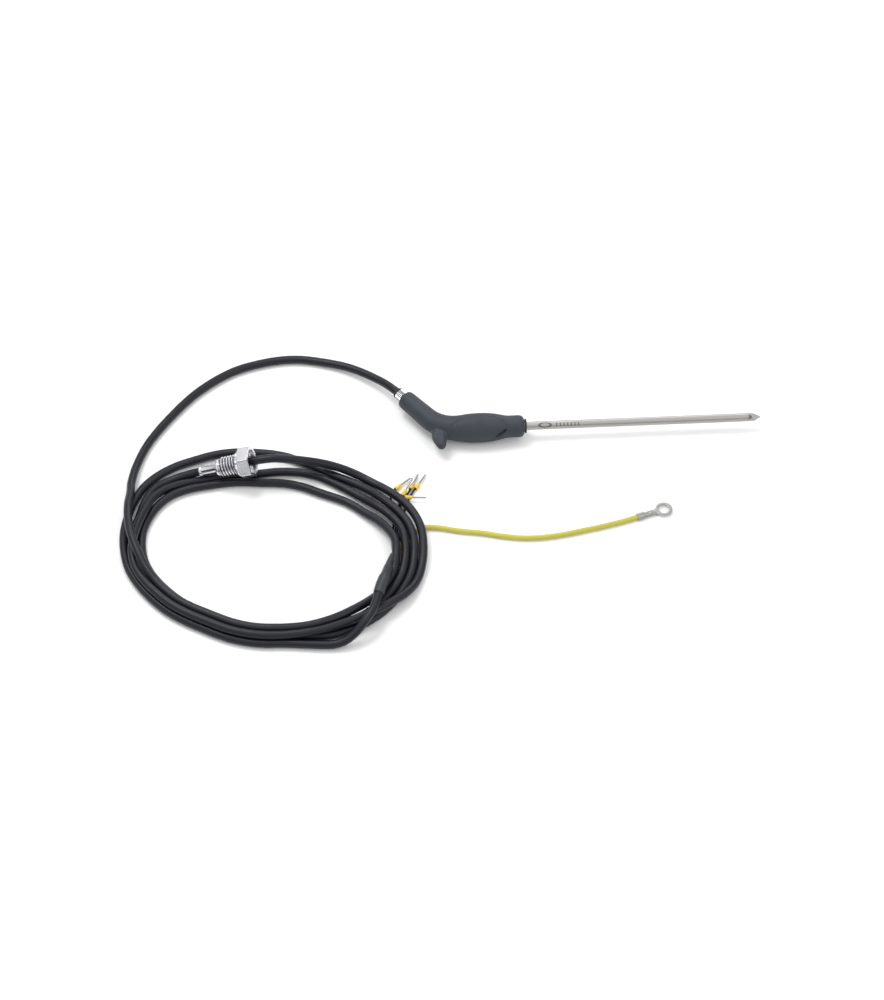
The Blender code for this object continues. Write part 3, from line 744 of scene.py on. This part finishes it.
class ProbeLayCable(bpy.types.Operator):
    """Lay the main cable through the coil and the gland, and shrink its sleeve on"""
    bl_idname = "probe.lay_cable"
    bl_label = "Lay cable"

    def execute(self, context):
        sizes = context.scene.probe_sizes
        nodes = ("cable_arc", "cable_coil", "cable_gland_lead", "cable_tail")
        on_cable = [self.add_sleeve(sizes.sleeve_diameter / 2), frame["nodes"]["gland_seal"],
                    frame["nodes"]["cable_lip"]]
        add_cord("main_cable", cable_points(), sizes.cable_diameter, 24, "cable_jacket", nodes,
                 on_cable)
        return {"FINISHED"}

    def add_sleeve(self, radius):
        """Two lengths of shrink tube, the second pulled down over the first."""
        path = smooth_path(millimetres(SLEEVE_ROUTE) + [SLEEVE_END], 0.6 * MM)
        total = path_length(path)
        steps = [(0.0, 0.86), (0.015, 0.97), (0.04, 1.0), (0.30, 1.0), (0.34, 0.985), (0.36, 0.90),
                 (0.52, 0.89), (0.66, 0.87), (0.69, 0.78), (0.88, 0.74), (0.97, 0.66), (1.0, 0.52)]
        radii = [radius * value_at(steps, path_length(path[:i + 1]) / total) for i in range(len(path))]
        mesh = tube_mesh("tail_shrink_sleeve", path, radii, 28)
        return add_piece("tail_shrink_sleeve", mesh, "shrink_sleeve", ("tail_sleeve",))


class ProbeCrimpCores(bpy.types.Operator):
    """Lay the five thin cores and crimp a yellow ferrule and its pin on each"""
    bl_idname = "probe.crimp_cores"
    bl_label = "Crimp cores"

    def execute(self, context):
        diameter = context.scene.probe_sizes.core_diameter
        for number, route in enumerate(CORE_ROUTES, 1):
            collar_node = f"ferrule_collar_{number}"
            pin_node = f"ferrule_pin_{number}"
            place = middle(*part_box(collar_node))
            direction = (middle(*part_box(pin_node)) - place).normalized()
            axis = axis_matrix(place, direction)
            collar = self.add_collar(f"yellow_collar_{number}", axis, collar_node)
            pin = self.add_pin(f"crimped_pin_{number}", axis, pin_node)
            entry = [place + direction * along * MM for along in (-3.6, -0.9)]
            add_cord(f"core_{number}", smooth_path(millimetres(route) + entry, 1.2 * MM), diameter, 12,
                     "cable_jacket", (f"core_wire_{number}",), [collar, pin])
        return {"FINISHED"}

    def add_collar(self, name, axis, node):
        """A funnel collar: wide mouth on the core's side, a bead, and a narrow nose on the pin's side."""
        profile = [(2.25, 0.0), (2.25, 0.75), (1.85, 1.0), (0.5, 1.02), (0.2, 1.12), (-1.6, 1.26),
                   (-2.05, 1.3), (-2.25, 1.24), (-2.25, 0.85), (-1.2, 0.68), (-1.2, 0.0)]
        mesh = spun_mesh(name, softened(profile, 0.12), axis, 28)
        return add_piece(name, mesh, "yellow_collar", (node,))

    def add_pin(self, name, axis, node):
        """A rolled tin pin with the flats and notches of a square crimp."""
        start = 2.4
        end = 10.2
        notches = 7

        def crimp(along, radius, angle):
            share = (along - start) / (end - start)
            if radius < 0.1 or not 0.08 < share < 0.9:
                return along, radius
            flat = 0.5 + 0.5 * math.cos(4 * angle)
            notch = 0.5 + 0.5 * math.cos(2 * math.pi * share * notches)
            return along, radius * (1.0 - 0.1 * flat * notch)

        body = [(along, 0.55) for along in stations(end - 0.25, start, 0.16)]
        profile = [(end, 0.0), (end, 0.38)] + body + [(start, 0.0)]
        return add_piece(name, spun_mesh(name, profile, axis, 20, shape=crimp), "tin_plate", (node,))


class ProbeLayEarthWire(bpy.types.Operator):
    """Lay the earth wire and crimp the ring terminal on its end"""
    bl_idname = "probe.lay_earth_wire"
    bl_label = "Lay earth wire"

    def execute(self, context):
        points = smooth_path(millimetres(EARTH_ROUTE), 2.5 * MM)
        add_cord("earth_lead", points, context.scene.probe_sizes.earth_diameter, 20, "earth_insulation",
                 ("earth_wire",), [self.add_terminal()])
        return {"FINISHED"}

    def add_terminal(self):
        """A stamped eye, a neck that curls up into a barrel, and a wider insulation grip."""
        away = Vector(EARTH_ROUTE[-1]) * MM - EYE_CENTRE
        away.z = 0.0
        away.normalize()
        eye = softened([(0.45, 5.0), (-0.45, 5.0), (-0.45, 3.2), (0.45, 3.2)], 0.18, True)
        mesh = spun_mesh("ring_terminal_look", eye, axis_matrix(EYE_CENTRE, (0, 0, 1)), 72, True)
        joined = with_booleans(mesh, [self.neck_mesh(away), self.barrel_mesh(away)], "UNION")
        return add_piece("ring_terminal_look", smoothed(joined, 35.0), "tin_plate", ("ring_terminal",))

    def neck_mesh(self, away):
        """Flat tongue that narrows and lifts its edges towards the barrel."""
        side = Vector((-away.y, away.x, 0))
        start = 3.9
        end = 8.4
        rings = []
        reaches = stations(start, end, 0.45)
        for reach in reaches:
            share = (reach - start) / (end - start)
            width = 2.15 - 0.75 * share
            half = 0.42 + 0.75 * share * share
            bulge = 0.35 + 0.65 * share
            ring = []
            for angle in circle(24):
                flat = math.copysign(abs(math.cos(angle)) ** bulge, math.cos(angle)) * width
                rise = math.copysign(abs(math.sin(angle)) ** bulge, math.sin(angle)) * half
                ring.append(EYE_CENTRE + (away * reach + side * flat + Vector((0, 0, rise))) * MM)
            rings.append(ring)
        return ring_mesh("neck", rings, [reach * MM for reach in reaches])

    def barrel_mesh(self, away):
        """Rolled barrel with a seam and a crimp dent, then the open grip on the insulation."""
        def rolled(along, radius, angle):
            if radius < 1.0:
                return along, radius
            seam = max(0.0, 1.0 - abs((angle - SEAM_ANGLE + math.pi) % (2 * math.pi) - math.pi) / 0.16)
            dent = math.exp(-(along - 10.0) ** 2) * max(0.0, math.cos(angle - SEAM_ANGLE)) ** 2
            return along, radius - 0.22 * seam - 0.5 * dent

        profile = [(17.2, 1.72), (17.2, 2.02)]
        profile += [(along, 2.05) for along in stations(16.9, 12.9, 0.4)]
        profile += [(12.5, 1.62)]
        profile += [(along, 1.6) for along in stations(12.1, 7.4, 0.25)]
        profile += [(7.2, 1.45), (7.2, 0.0), (13.2, 0.0), (13.2, 1.7)]
        return spun_mesh("barrel", profile, axis_matrix(EYE_CENTRE, away), 40, True, rolled)


# ---------------------------------------------------------------- handle and needle

NEEDLE_AXIS = axis_matrix(FRONT, (1, 0, 0))
LEG_AXIS = axis_matrix(LEG_END, LEG_DIRECTION)
MARK_SIDE = Vector((0.0, -0.64, 0.77))
PAD_SIDE = Vector((0.0, -0.75, 0.66))
SEAM_ANGLE = math.pi / 2


def turn_of(direction, matrix):
    """Share of a turn at which a direction lies in a matrix's local XY plane."""
    local = matrix.to_3x3().inverted() @ direction
    return (math.atan2(local.y, local.x) / (2 * math.pi)) % 1.0


MARK_TURN = turn_of(MARK_SIDE, NEEDLE_AXIS)


def grip_line(front_over, end_over):
    """Centre points of the grip with their radii as a fourth number."""
    line = []
    for back, radius in STRAIGHT_RADII:
        line.append((FRONT - Vector((back * MM, 0, 0)), radius))
    corner = [BEND + Vector((BEND_START, 0, 0)), BEND, BEND + LEG_DIRECTION * BEND_START]
    for i, radius in enumerate(BEND_RADII):
        t = i / (len(BEND_RADII) - 1)
        line.append((corner[0] * (1 - t) ** 2 + corner[1] * 2 * t * (1 - t) + corner[2] * t * t, radius))
    for along, radius in LEG_RADII:
        line.append((BEND + LEG_DIRECTION * along * MM, radius))
    line[0] = (line[0][0] + Vector((front_over, 0, 0)), line[0][1])
    line[-1] = (line[-1][0] + LEG_DIRECTION * end_over, line[-1][1])
    return [Vector((*point, radius * MM)) for point, radius in line]


def pad_shape(point):
    """How far the surface sinks at a point: the thumb pad's groove, its dish and its crescent."""
    along = (FRONT.x - point.x) / MM
    if not 8.0 < along < 50.0:
        return 0.0
    outward = Vector((0.0, point.y - FRONT.y, point.z - FRONT.z))
    across = PAD_SIDE.cross(Vector((1, 0, 0)))
    angle = math.atan2(outward.dot(across), outward.dot(PAD_SIDE))
    reach = math.hypot((along - 27.6) / 16.8, angle / 1.05)
    groove = math.exp(-((reach - 1.0) / 0.05) ** 2)
    dish = 0.5 * max(0.0, 1.0 - reach * reach)
    inner = math.hypot((along - 30.0) / 16.8, (angle - 0.2) / 1.05)
    crescent = smooth_gate(inner, 1.0, 1.1) * smooth_gate(1.02 - reach, 0.0, 0.04)
    corner = smooth_gate(-angle, 0.05, 0.25) * smooth_gate(18.5 - along, 0.0, 3.0)
    return (groove + dish + 4.4 * crescent * corner) * bpy.context.scene.probe_sizes.pad_depth


def smooth_gate(value, low, high):
    t = min(1.0, max(0.0, (value - low) / (high - low)))
    return t * t * (3 - 2 * t)


class ProbeShapeGrip(bpy.types.Operator):
    """Mould the grip: barrel, bent leg, hook, thumb pad and the bore through them"""
    bl_idname = "probe.shape_grip"
    bl_label = "Shape grip"

    def execute(self, context):
        line = smooth_path(grip_line(0.0, 0.0), 0.7 * MM)
        body = tube_mesh("grip_body", [p.xyz for p in line], [p.w for p in line], 72)
        merged = with_booleans(body, [self.hook_mesh()], "UNION")
        work = linked("grip_work", merged)
        remesh = work.modifiers.new("skin", "REMESH")
        remesh.mode = "VOXEL"
        remesh.voxel_size = 0.42 * MM
        smooth = work.modifiers.new("soften", "SMOOTH")
        smooth.factor = 0.5
        smooth.iterations = 12
        skin = applied(work)
        self.press_pad(skin)
        bore = smooth_path(grip_line(1.0 * MM, 1.0 * MM), 1.5 * MM)
        radii = [2.8 * MM if FRONT.x - p.x < 7.0 * MM else 4.4 * MM for p in bore]
        cutter = tube_mesh("bore", [p.xyz for p in bore], radii, 40)
        hollow = with_booleans(skin, [cutter], "DIFFERENCE")
        add_piece("moulded_grip", smoothed(hollow, 50.0), "grip_plastic", ("handle_grip",))
        return {"FINISHED"}

    def hook_mesh(self):
        """Curved finger hook with shallow folds that run out from its root."""
        base = BEND + Vector((-0.9, 1.0, 0)) * MM
        length = 16.2
        keys = [(0.0, 4.6), (4.0, 4.8), (6.0, 4.9), (8.0, 4.8), (10.0, 4.3), (12.5, 3.5), (14.5, 2.7),
                (15.6, 1.9), (length, 0.7)]
        path = []
        radii = []
        for reach in stations(0.0, length, 0.3):
            sway = 0.8 * smooth_gate(reach, 8.0, length)
            path.append(base + Vector((sway, -reach, 0)) * MM)
            radii.append(value_at(keys, reach) * MM)

        def folds(travelled, angle):
            reach = travelled / MM
            fade = smooth_gate(reach, 5.0, 7.5) * (1 - smooth_gate(reach, 12.0, 15.5))
            flat = 0.3 * math.sin(angle) ** 2 * (1 - smooth_gate(reach, 5.0, 14.0))
            return 1.0 - flat - 0.13 * fade * (0.5 + 0.5 * math.cos(9 * angle))

        return tube_mesh("hook", path, radii, 56, folds)

    def press_pad(self, mesh):
        """Sink the thumb pad into the skin along the direction to the barrel's centre line."""
        for vertex in mesh.vertices:
            depth = pad_shape(vertex.co)
            if depth > 0.0:
                inward = Vector((0.0, FRONT.y - vertex.co.y, FRONT.z - vertex.co.z)).normalized()
                vertex.co += inward * depth


class ProbeShapeNeedle(bpy.types.Operator):
    """Turn the needle's tube and grind the three flats of its point"""
    bl_idname = "probe.shape_needle"
    bl_label = "Shape needle"

    def execute(self, context):
        point_length = 7.7
        shown = NEEDLE_SHOWN / MM
        radius = NEEDLE_RADIUS / MM
        inner = radius - 0.4
        tube_end = shown - point_length
        near = -NEEDLE_INSIDE / MM
        far = tube_end - 0.15
        profile = [(along, radius) for along in stations(near, far, 4.0)] + [(far, inner), (near, inner)]
        mesh = spun_mesh("brushed_needle", profile, NEEDLE_AXIS, 64, True)
        self.measure_from_front(mesh)
        add_piece("brushed_needle", mesh, "needle_steel", ("needle_tube",))
        plug = inner - 0.3
        start = tube_end - 6.0
        bar = [(shown, 0.0), (shown, radius), (tube_end, radius), (tube_end, plug), (start, plug),
               (start, 0.0)]
        tip = spun_mesh("ground_point", bar, NEEDLE_AXIS, 48)
        self.grind(tip, point_length * MM)
        add_piece("ground_point", tip, "needle_steel", ("needle_tip",))
        return {"FINISHED"}

    def measure_from_front(self, mesh):
        """Let the second coordinate count metres from the handle's front face."""
        layer = mesh.uv_layers["round_along"]
        for loop in mesh.loops:
            layer.data[loop.index].uv.y = mesh.vertices[loop.vertex_index].co.x - FRONT.x

    def grind(self, mesh, length):
        """Cut three flats that meet in the point."""
        shape = bmesh.new()
        shape.from_mesh(mesh)
        end = FRONT + Vector((NEEDLE_SHOWN, 0, 0))
        slope = math.atan2(NEEDLE_RADIUS, length)
        for k in range(3):
            angle = math.radians(65 + 120 * k)
            side = Vector((0, math.cos(angle), math.sin(angle)))
            normal = Vector((math.sin(slope), 0, 0)) + side * math.cos(slope)
            geometry = list(shape.verts) + list(shape.edges) + list(shape.faces)
            cut = bmesh.ops.bisect_plane(shape, geom=geometry, plane_co=end, plane_no=normal,
                                         clear_outer=True)
            rim = [part for part in cut["geom_cut"] if isinstance(part, bmesh.types.BMEdge)]
            bmesh.ops.contextual_create(shape, geom=rim)
        bmesh.ops.remove_doubles(shape, verts=shape.verts, dist=1e-6)
        bmesh.ops.recalc_face_normals(shape, faces=shape.faces)
        shape.to_mesh(mesh)
        shape.free()
        mesh.set_sharp_from_angle(angle=math.radians(20))


# In millimetres
FERRULE_RADIUS = 3.7
KNURL_DEPTH = 0.45


class ProbeFitCableEntry(bpy.types.Operator):
    """Knurl the rear ferrule, which the cable enters through"""
    bl_idname = "probe.fit_cable_entry"
    bl_label = "Fit cable entry"

    def execute(self, context):
        ribs = context.scene.probe_sizes.knurl_ribs

        def knurl(along, radius, angle):
            if radius < 3.3 or not -0.8 < along < 4.3:
                return along, radius
            return along, radius - KNURL_DEPTH * (1.0 - tooth_wave(ribs * angle / (2 * math.pi)))

        ribbed = [(along, FERRULE_RADIUS) for along in stations(4.2, -0.7, 0.35)]
        profile = [(4.6, 3.45), (4.35, 3.68)] + ribbed + [(-0.9, 3.4), (-3.0, 3.4), (-3.0, 2.8), (4.6, 2.8)]
        add_turned("knurled_ferrule", profile, LEG_AXIS, ribs * 8, "nickel_plate", "rear_ferrule", knurl)
        return {"FINISHED"}


# ---------------------------------------------------------------- gland

GLAND_AXIS = axis_matrix(GLAND_CENTRE, GLAND_DIRECTION)
NUT_TURN = math.radians(4.0)
# In millimetres
THREAD_START = -16.5
THREAD_END = -0.5
THREAD_DEPTH = 0.95
THREAD_STEP = 0.16
SPIGOT_END = -29.7
SPIGOT_RADIUS = 3.1
NUT_THICKNESS = 7.0
NEAR = 0.01


def ridge(along, angle, sizes):
    """Height of the right-hand thread, 0 at the root and 1 on the crest."""
    wave = tooth_wave(along * MM / sizes.thread_pitch - angle / (2 * math.pi))
    return min(1.0, max(0.0, (wave - 0.12) / 0.7))


class ProbeTurnGland(bpy.types.Operator):
    """Turn the gland's body with its thread and slotted spigot, and its clamp ring"""
    bl_idname = "probe.turn_gland"
    bl_label = "Turn gland"

    def execute(self, context):
        sizes = context.scene.probe_sizes
        root = sizes.thread_radius / MM - THREAD_DEPTH

        def thread(along, radius, angle):
            if abs(radius - root) > NEAR:
                return along, radius
            fade = smooth_gate(along, THREAD_START, THREAD_START + 0.8)
            fade *= 1 - smooth_gate(along, THREAD_END - 0.9, THREAD_END - 0.1)
            return along, root + THREAD_DEPTH * fade * ridge(along, angle, sizes)

        crests = [(along, root) for along in stations(THREAD_END, THREAD_START, THREAD_STEP)]
        shoulder = [(0.3, root - 0.35), (0.6, 5.05), (0.8, 5.2), (1.6, 5.2), (1.9, 5.0), (2.5, 3.4),
                    (3.0, SPIGOT_RADIUS)]
        profile = crests + [(THREAD_START - behind, radius) for behind, radius in shoulder]
        profile += [(SPIGOT_END + 0.2, SPIGOT_RADIUS), (SPIGOT_END, SPIGOT_RADIUS - 0.15)]
        profile += [(SPIGOT_END, 2.8), (-3.0, 2.8), (-3.0, 4.4), (THREAD_END, 4.4)]
        mesh = spun_mesh("threaded_gland", profile, GLAND_AXIS, 96, True, thread)
        slotted = with_booleans(mesh, [self.slot_mesh(k) for k in range(4)], "DIFFERENCE")
        add_piece("threaded_gland", smoothed(slotted, 35.0), "nickel_plate", ("gland_body",))
        near = SPIGOT_END + 0.1
        far = SPIGOT_END + 1.5
        ring = softened([(near, 3.2), (far, 3.2), (far, 3.8), (near, 3.8)], 0.2, True)
        add_turned("clamp_ring", ring, GLAND_AXIS, 64, "nickel_plate", "spigot_clamp_ring")
        return {"FINISHED"}

    def slot_mesh(self, number):
        """Cutter for one slot, with round ends."""
        length = 9.0
        width = 0.42
        start = SPIGOT_END + 1.6
        place = GLAND_AXIS @ Matrix.Rotation(2 * math.pi * (number + 0.5) / 4, 4, "Z")
        rim = []
        for angle in circle(16):
            centre = start + width if math.cos(angle) < 0 else start + length - width
            rim.append((width * math.sin(angle), centre + width * math.cos(angle)))
        rings = [[place @ (Vector((reach, across, along)) * MM) for across, along in rim]
                 for reach in (1.0, 5.0)]
        return ring_mesh("slot", rings, [0.0, 4.0 * MM])


class ProbeTurnNut(bpy.types.Operator):
    """Cut the hexagon nut with its thread and deep mouth, and the serrated lock washer"""
    bl_idname = "probe.turn_nut"
    bl_label = "Turn nut"

    def execute(self, context):
        self.add_nut(context.scene.probe_sizes)
        self.add_washer()
        return {"FINISHED"}

    def add_nut(self, sizes):
        half = NUT_THICKNESS / 2
        flats = sizes.nut_flats / MM
        corner = flats / math.sqrt(3)
        thread_radius = sizes.thread_radius / MM
        crest = thread_radius - THREAD_DEPTH
        clearance = 0.12
        mouth = half - 3.0
        turn = math.pi / 3

        def form(along, radius, angle):
            if radius > corner - NEAR:
                flat = flats / 2 / math.cos((angle % turn) - turn / 2)
                cone = corner - 1.15 + (half - abs(along)) * 1.9
                return along, min(flat, cone, corner - 0.08)
            if abs(radius - crest) < NEAR:
                open_end = smooth_gate(-along, half - 0.7, half)
                reach = crest + THREAD_DEPTH * ridge(along, angle + NUT_TURN, sizes) + clearance
                return along, reach + (thread_radius + 0.2 - reach) * open_end
            return along, radius

        outer = stations(half, half - 1.2, 0.12)
        outer += stations(half - 1.6, -half + 1.6, 0.9)
        outer += stations(-half + 1.2, -half, 0.12)
        profile = [(along, crest) for along in stations(-half, mouth, THREAD_STEP)]
        profile += [(mouth, 7.1), (half - 0.25, 7.1), (half, 7.35)]
        profile += [(along, corner) for along in outer]
        spin = GLAND_AXIS @ Matrix.Rotation(NUT_TURN, 4, "Z")
        add_turned("hexagon_nut", profile, spin, 180, "nickel_plate", "hex_nut", form, "nut", 25.0)

    def add_washer(self):
        """Washer with sixteen teeth, each twisted out of the plate."""
        far = -NUT_THICKNESS / 2 - 0.3
        near = far - 2.2
        teeth = 16

        def serrate(along, radius, angle):
            if radius < 6.4:
                return along, radius
            turns = teeth * angle / (2 * math.pi)
            inside = abs(along - (near + far) / 2) < 0.7
            twist = 0.45 * ((turns % 1.0) - 0.5) if inside else 0.0
            return along + twist, radius - 0.55 * (1 - tooth_wave(turns))

        face = [(0.5, 6.15), (0.05, 6.3), (0.25, 7.0), (0.7, 7.28)]
        profile = [(far - inset, radius) for inset, radius in face]
        profile += [(near + inset, radius) for inset, radius in reversed(face)]
        add_turned("serrated_washer", profile, GLAND_AXIS, teeth * 10, "nickel_plate", "lock_washer",
                   serrate, "washer")


# ---------------------------------------------------------------- carried-over parts and stage

KEPT_NODES = {
    "black_rubber": ["front_seal_ring", "cable_lip", "gland_seal"],
    "nickel_plate": ["needle_collar"],
    "potting_resin": ["potting_plug"],
    "ceramic": ["sensing_element", "lead_insulator"] + [f"splice_{k}" for k in range(1, 6)],
    "tin_plate": [f"inner_lead_{k}" for k in range(1, 6)],
}


class ProbeFinishInnerParts(bpy.types.Operator):
    """Give the seals and the parts inside the grip their finishes"""
    bl_idname = "probe.finish_inner_parts"
    bl_label = "Finish inner parts"

    def execute(self, context):
        for slot, names in KEPT_NODES.items():
            for name in names:
                mesh = frame["nodes"][name].data
                mesh.materials.clear()
                mesh.materials.append(finish(slot))
        return {"FINISHED"}


class ProbeBuildStage(bpy.types.Operator):
    """Set up the camera, the pale floor and the soft light"""
    bl_idname = "probe.build_stage"
    bl_label = "Build stage"

    def execute(self, context):
        settings = context.scene.probe_stage
        self.add_camera(settings)
        self.add_floor(settings)
        self.add_lights(settings)
        return {"FINISHED"}

    def add_camera(self, settings):
        aim = Vector((-84.99, -56.36, 0.0)) * MM
        flat = math.cos(settings.elevation)
        back = Vector((math.sin(settings.azimuth) * flat, -math.cos(settings.azimuth) * flat,
                       math.sin(settings.elevation)))
        data = bpy.data.cameras.new("studio_camera")
        data.lens = 100.0
        data.sensor_width = 36.0
        camera = linked("studio_camera", data)
        camera.location = aim + back * settings.distance
        camera.rotation_euler = (math.pi / 2 - settings.elevation, 0.0, settings.azimuth)
        bpy.context.scene.camera = camera

    def add_floor(self, settings):
        shape = bmesh.new()
        bmesh.ops.create_grid(shape, x_segments=8, y_segments=8, size=3.0)
        mesh = bpy.data.meshes.new("studio_floor")
        shape.to_mesh(mesh)
        shape.free()
        mesh.materials.append(new_material("floor_paper", floor_finish, settings.floor))
        floor = linked("studio_floor", mesh)
        floor.location.z = -0.2 * MM

    def add_lights(self, settings):
        world = bpy.data.worlds.new("even_light")
        world.use_nodes = True
        sky = Paint(world.node_tree, "Background")
        height = sky.node("ShaderNodeSeparateXYZ", None, {0: sky.node("ShaderNodeTexCoord")}, 2)
        stops = [(0.0, (0.16, 0.16, 0.17)), (0.75, (1.0, 1.0, 1.0))]
        shade = sky.node("ShaderNodeValToRGB", {"stops": stops}, {0: height})
        sky.set(Color=shade, Strength=settings.world_light)
        bpy.context.scene.world = world
        bpy.context.scene.view_settings.view_transform = "Standard"
        lamps = [
            ("key_light", (-0.5, 0.35, 1.2), 0.5, 1.0),
            ("fill_light", (0.9, -0.8, 0.9), 0.8, 0.5),
            ("rim_light", (0.2, 1.2, 0.7), 0.6, 0.5),
        ]
        for name, place, size, share in lamps:
            data = bpy.data.lights.new(name, "AREA")
            data.size = size
            data.energy = settings.key_power * share
            lamp = linked(name, data)
            lamp.location = place
            aim = Vector((-0.1, -0.05, 0.0)) - lamp.location
            lamp.rotation_euler = aim.to_track_quat("-Z", "Y").to_euler()


class PROBE_PT_sidebar(bpy.types.Panel):
    """Settings and steps of the insertion probe"""
    bl_idname = "PROBE_PT_sidebar"
    bl_label = "Insertion Probe"
    bl_space_type = "VIEW_3D"
    bl_region_type = "UI"
    bl_category = "Probe"

    def draw(self, context):
        layout = self.layout
        for group in (context.scene.probe_sizes, context.scene.probe_colours, context.scene.probe_stage):
            box = layout.box()
            for name in group.__annotations__:
                box.prop(group, name)
        for operator in OPERATORS:
            layout.operator(operator.bl_idname)


OPERATORS = (ProbeBuildStage, ProbeLayCable, ProbeCrimpCores, ProbeLayEarthWire, ProbeShapeGrip,
             ProbeShapeNeedle, ProbeFitCableEntry, ProbeTurnGland, ProbeTurnNut, ProbeFinishInnerParts)
CLASSES = (ProbeSizes, ProbeColours, ProbeStage, *OPERATORS, PROBE_PT_sidebar)


def register():
    for item in CLASSES:
        bpy.utils.register_class(item)
    bpy.types.Scene.probe_sizes = PointerProperty(type=ProbeSizes)
    bpy.types.Scene.probe_colours = PointerProperty(type=ProbeColours)
    bpy.types.Scene.probe_stage = PointerProperty(type=ProbeStage)


def unregister():
    del bpy.types.Scene.probe_stage
    del bpy.types.Scene.probe_colours
    del bpy.types.Scene.probe_sizes
    for item in reversed(CLASSES):
        bpy.utils.unregister_class(item)


def main():
    register()
    bpy.ops.probe.build_stage()
    bpy.ops.probe.lay_cable()
    bpy.ops.probe.crimp_cores()
    bpy.ops.probe.lay_earth_wire()
    bpy.ops.probe.shape_grip()
    bpy.ops.probe.shape_needle()
    bpy.ops.probe.fit_cable_entry()
    bpy.ops.probe.turn_gland()
    bpy.ops.probe.turn_nut()
    bpy.ops.probe.finish_inner_parts()


if __name__ == "__main__":
    main()
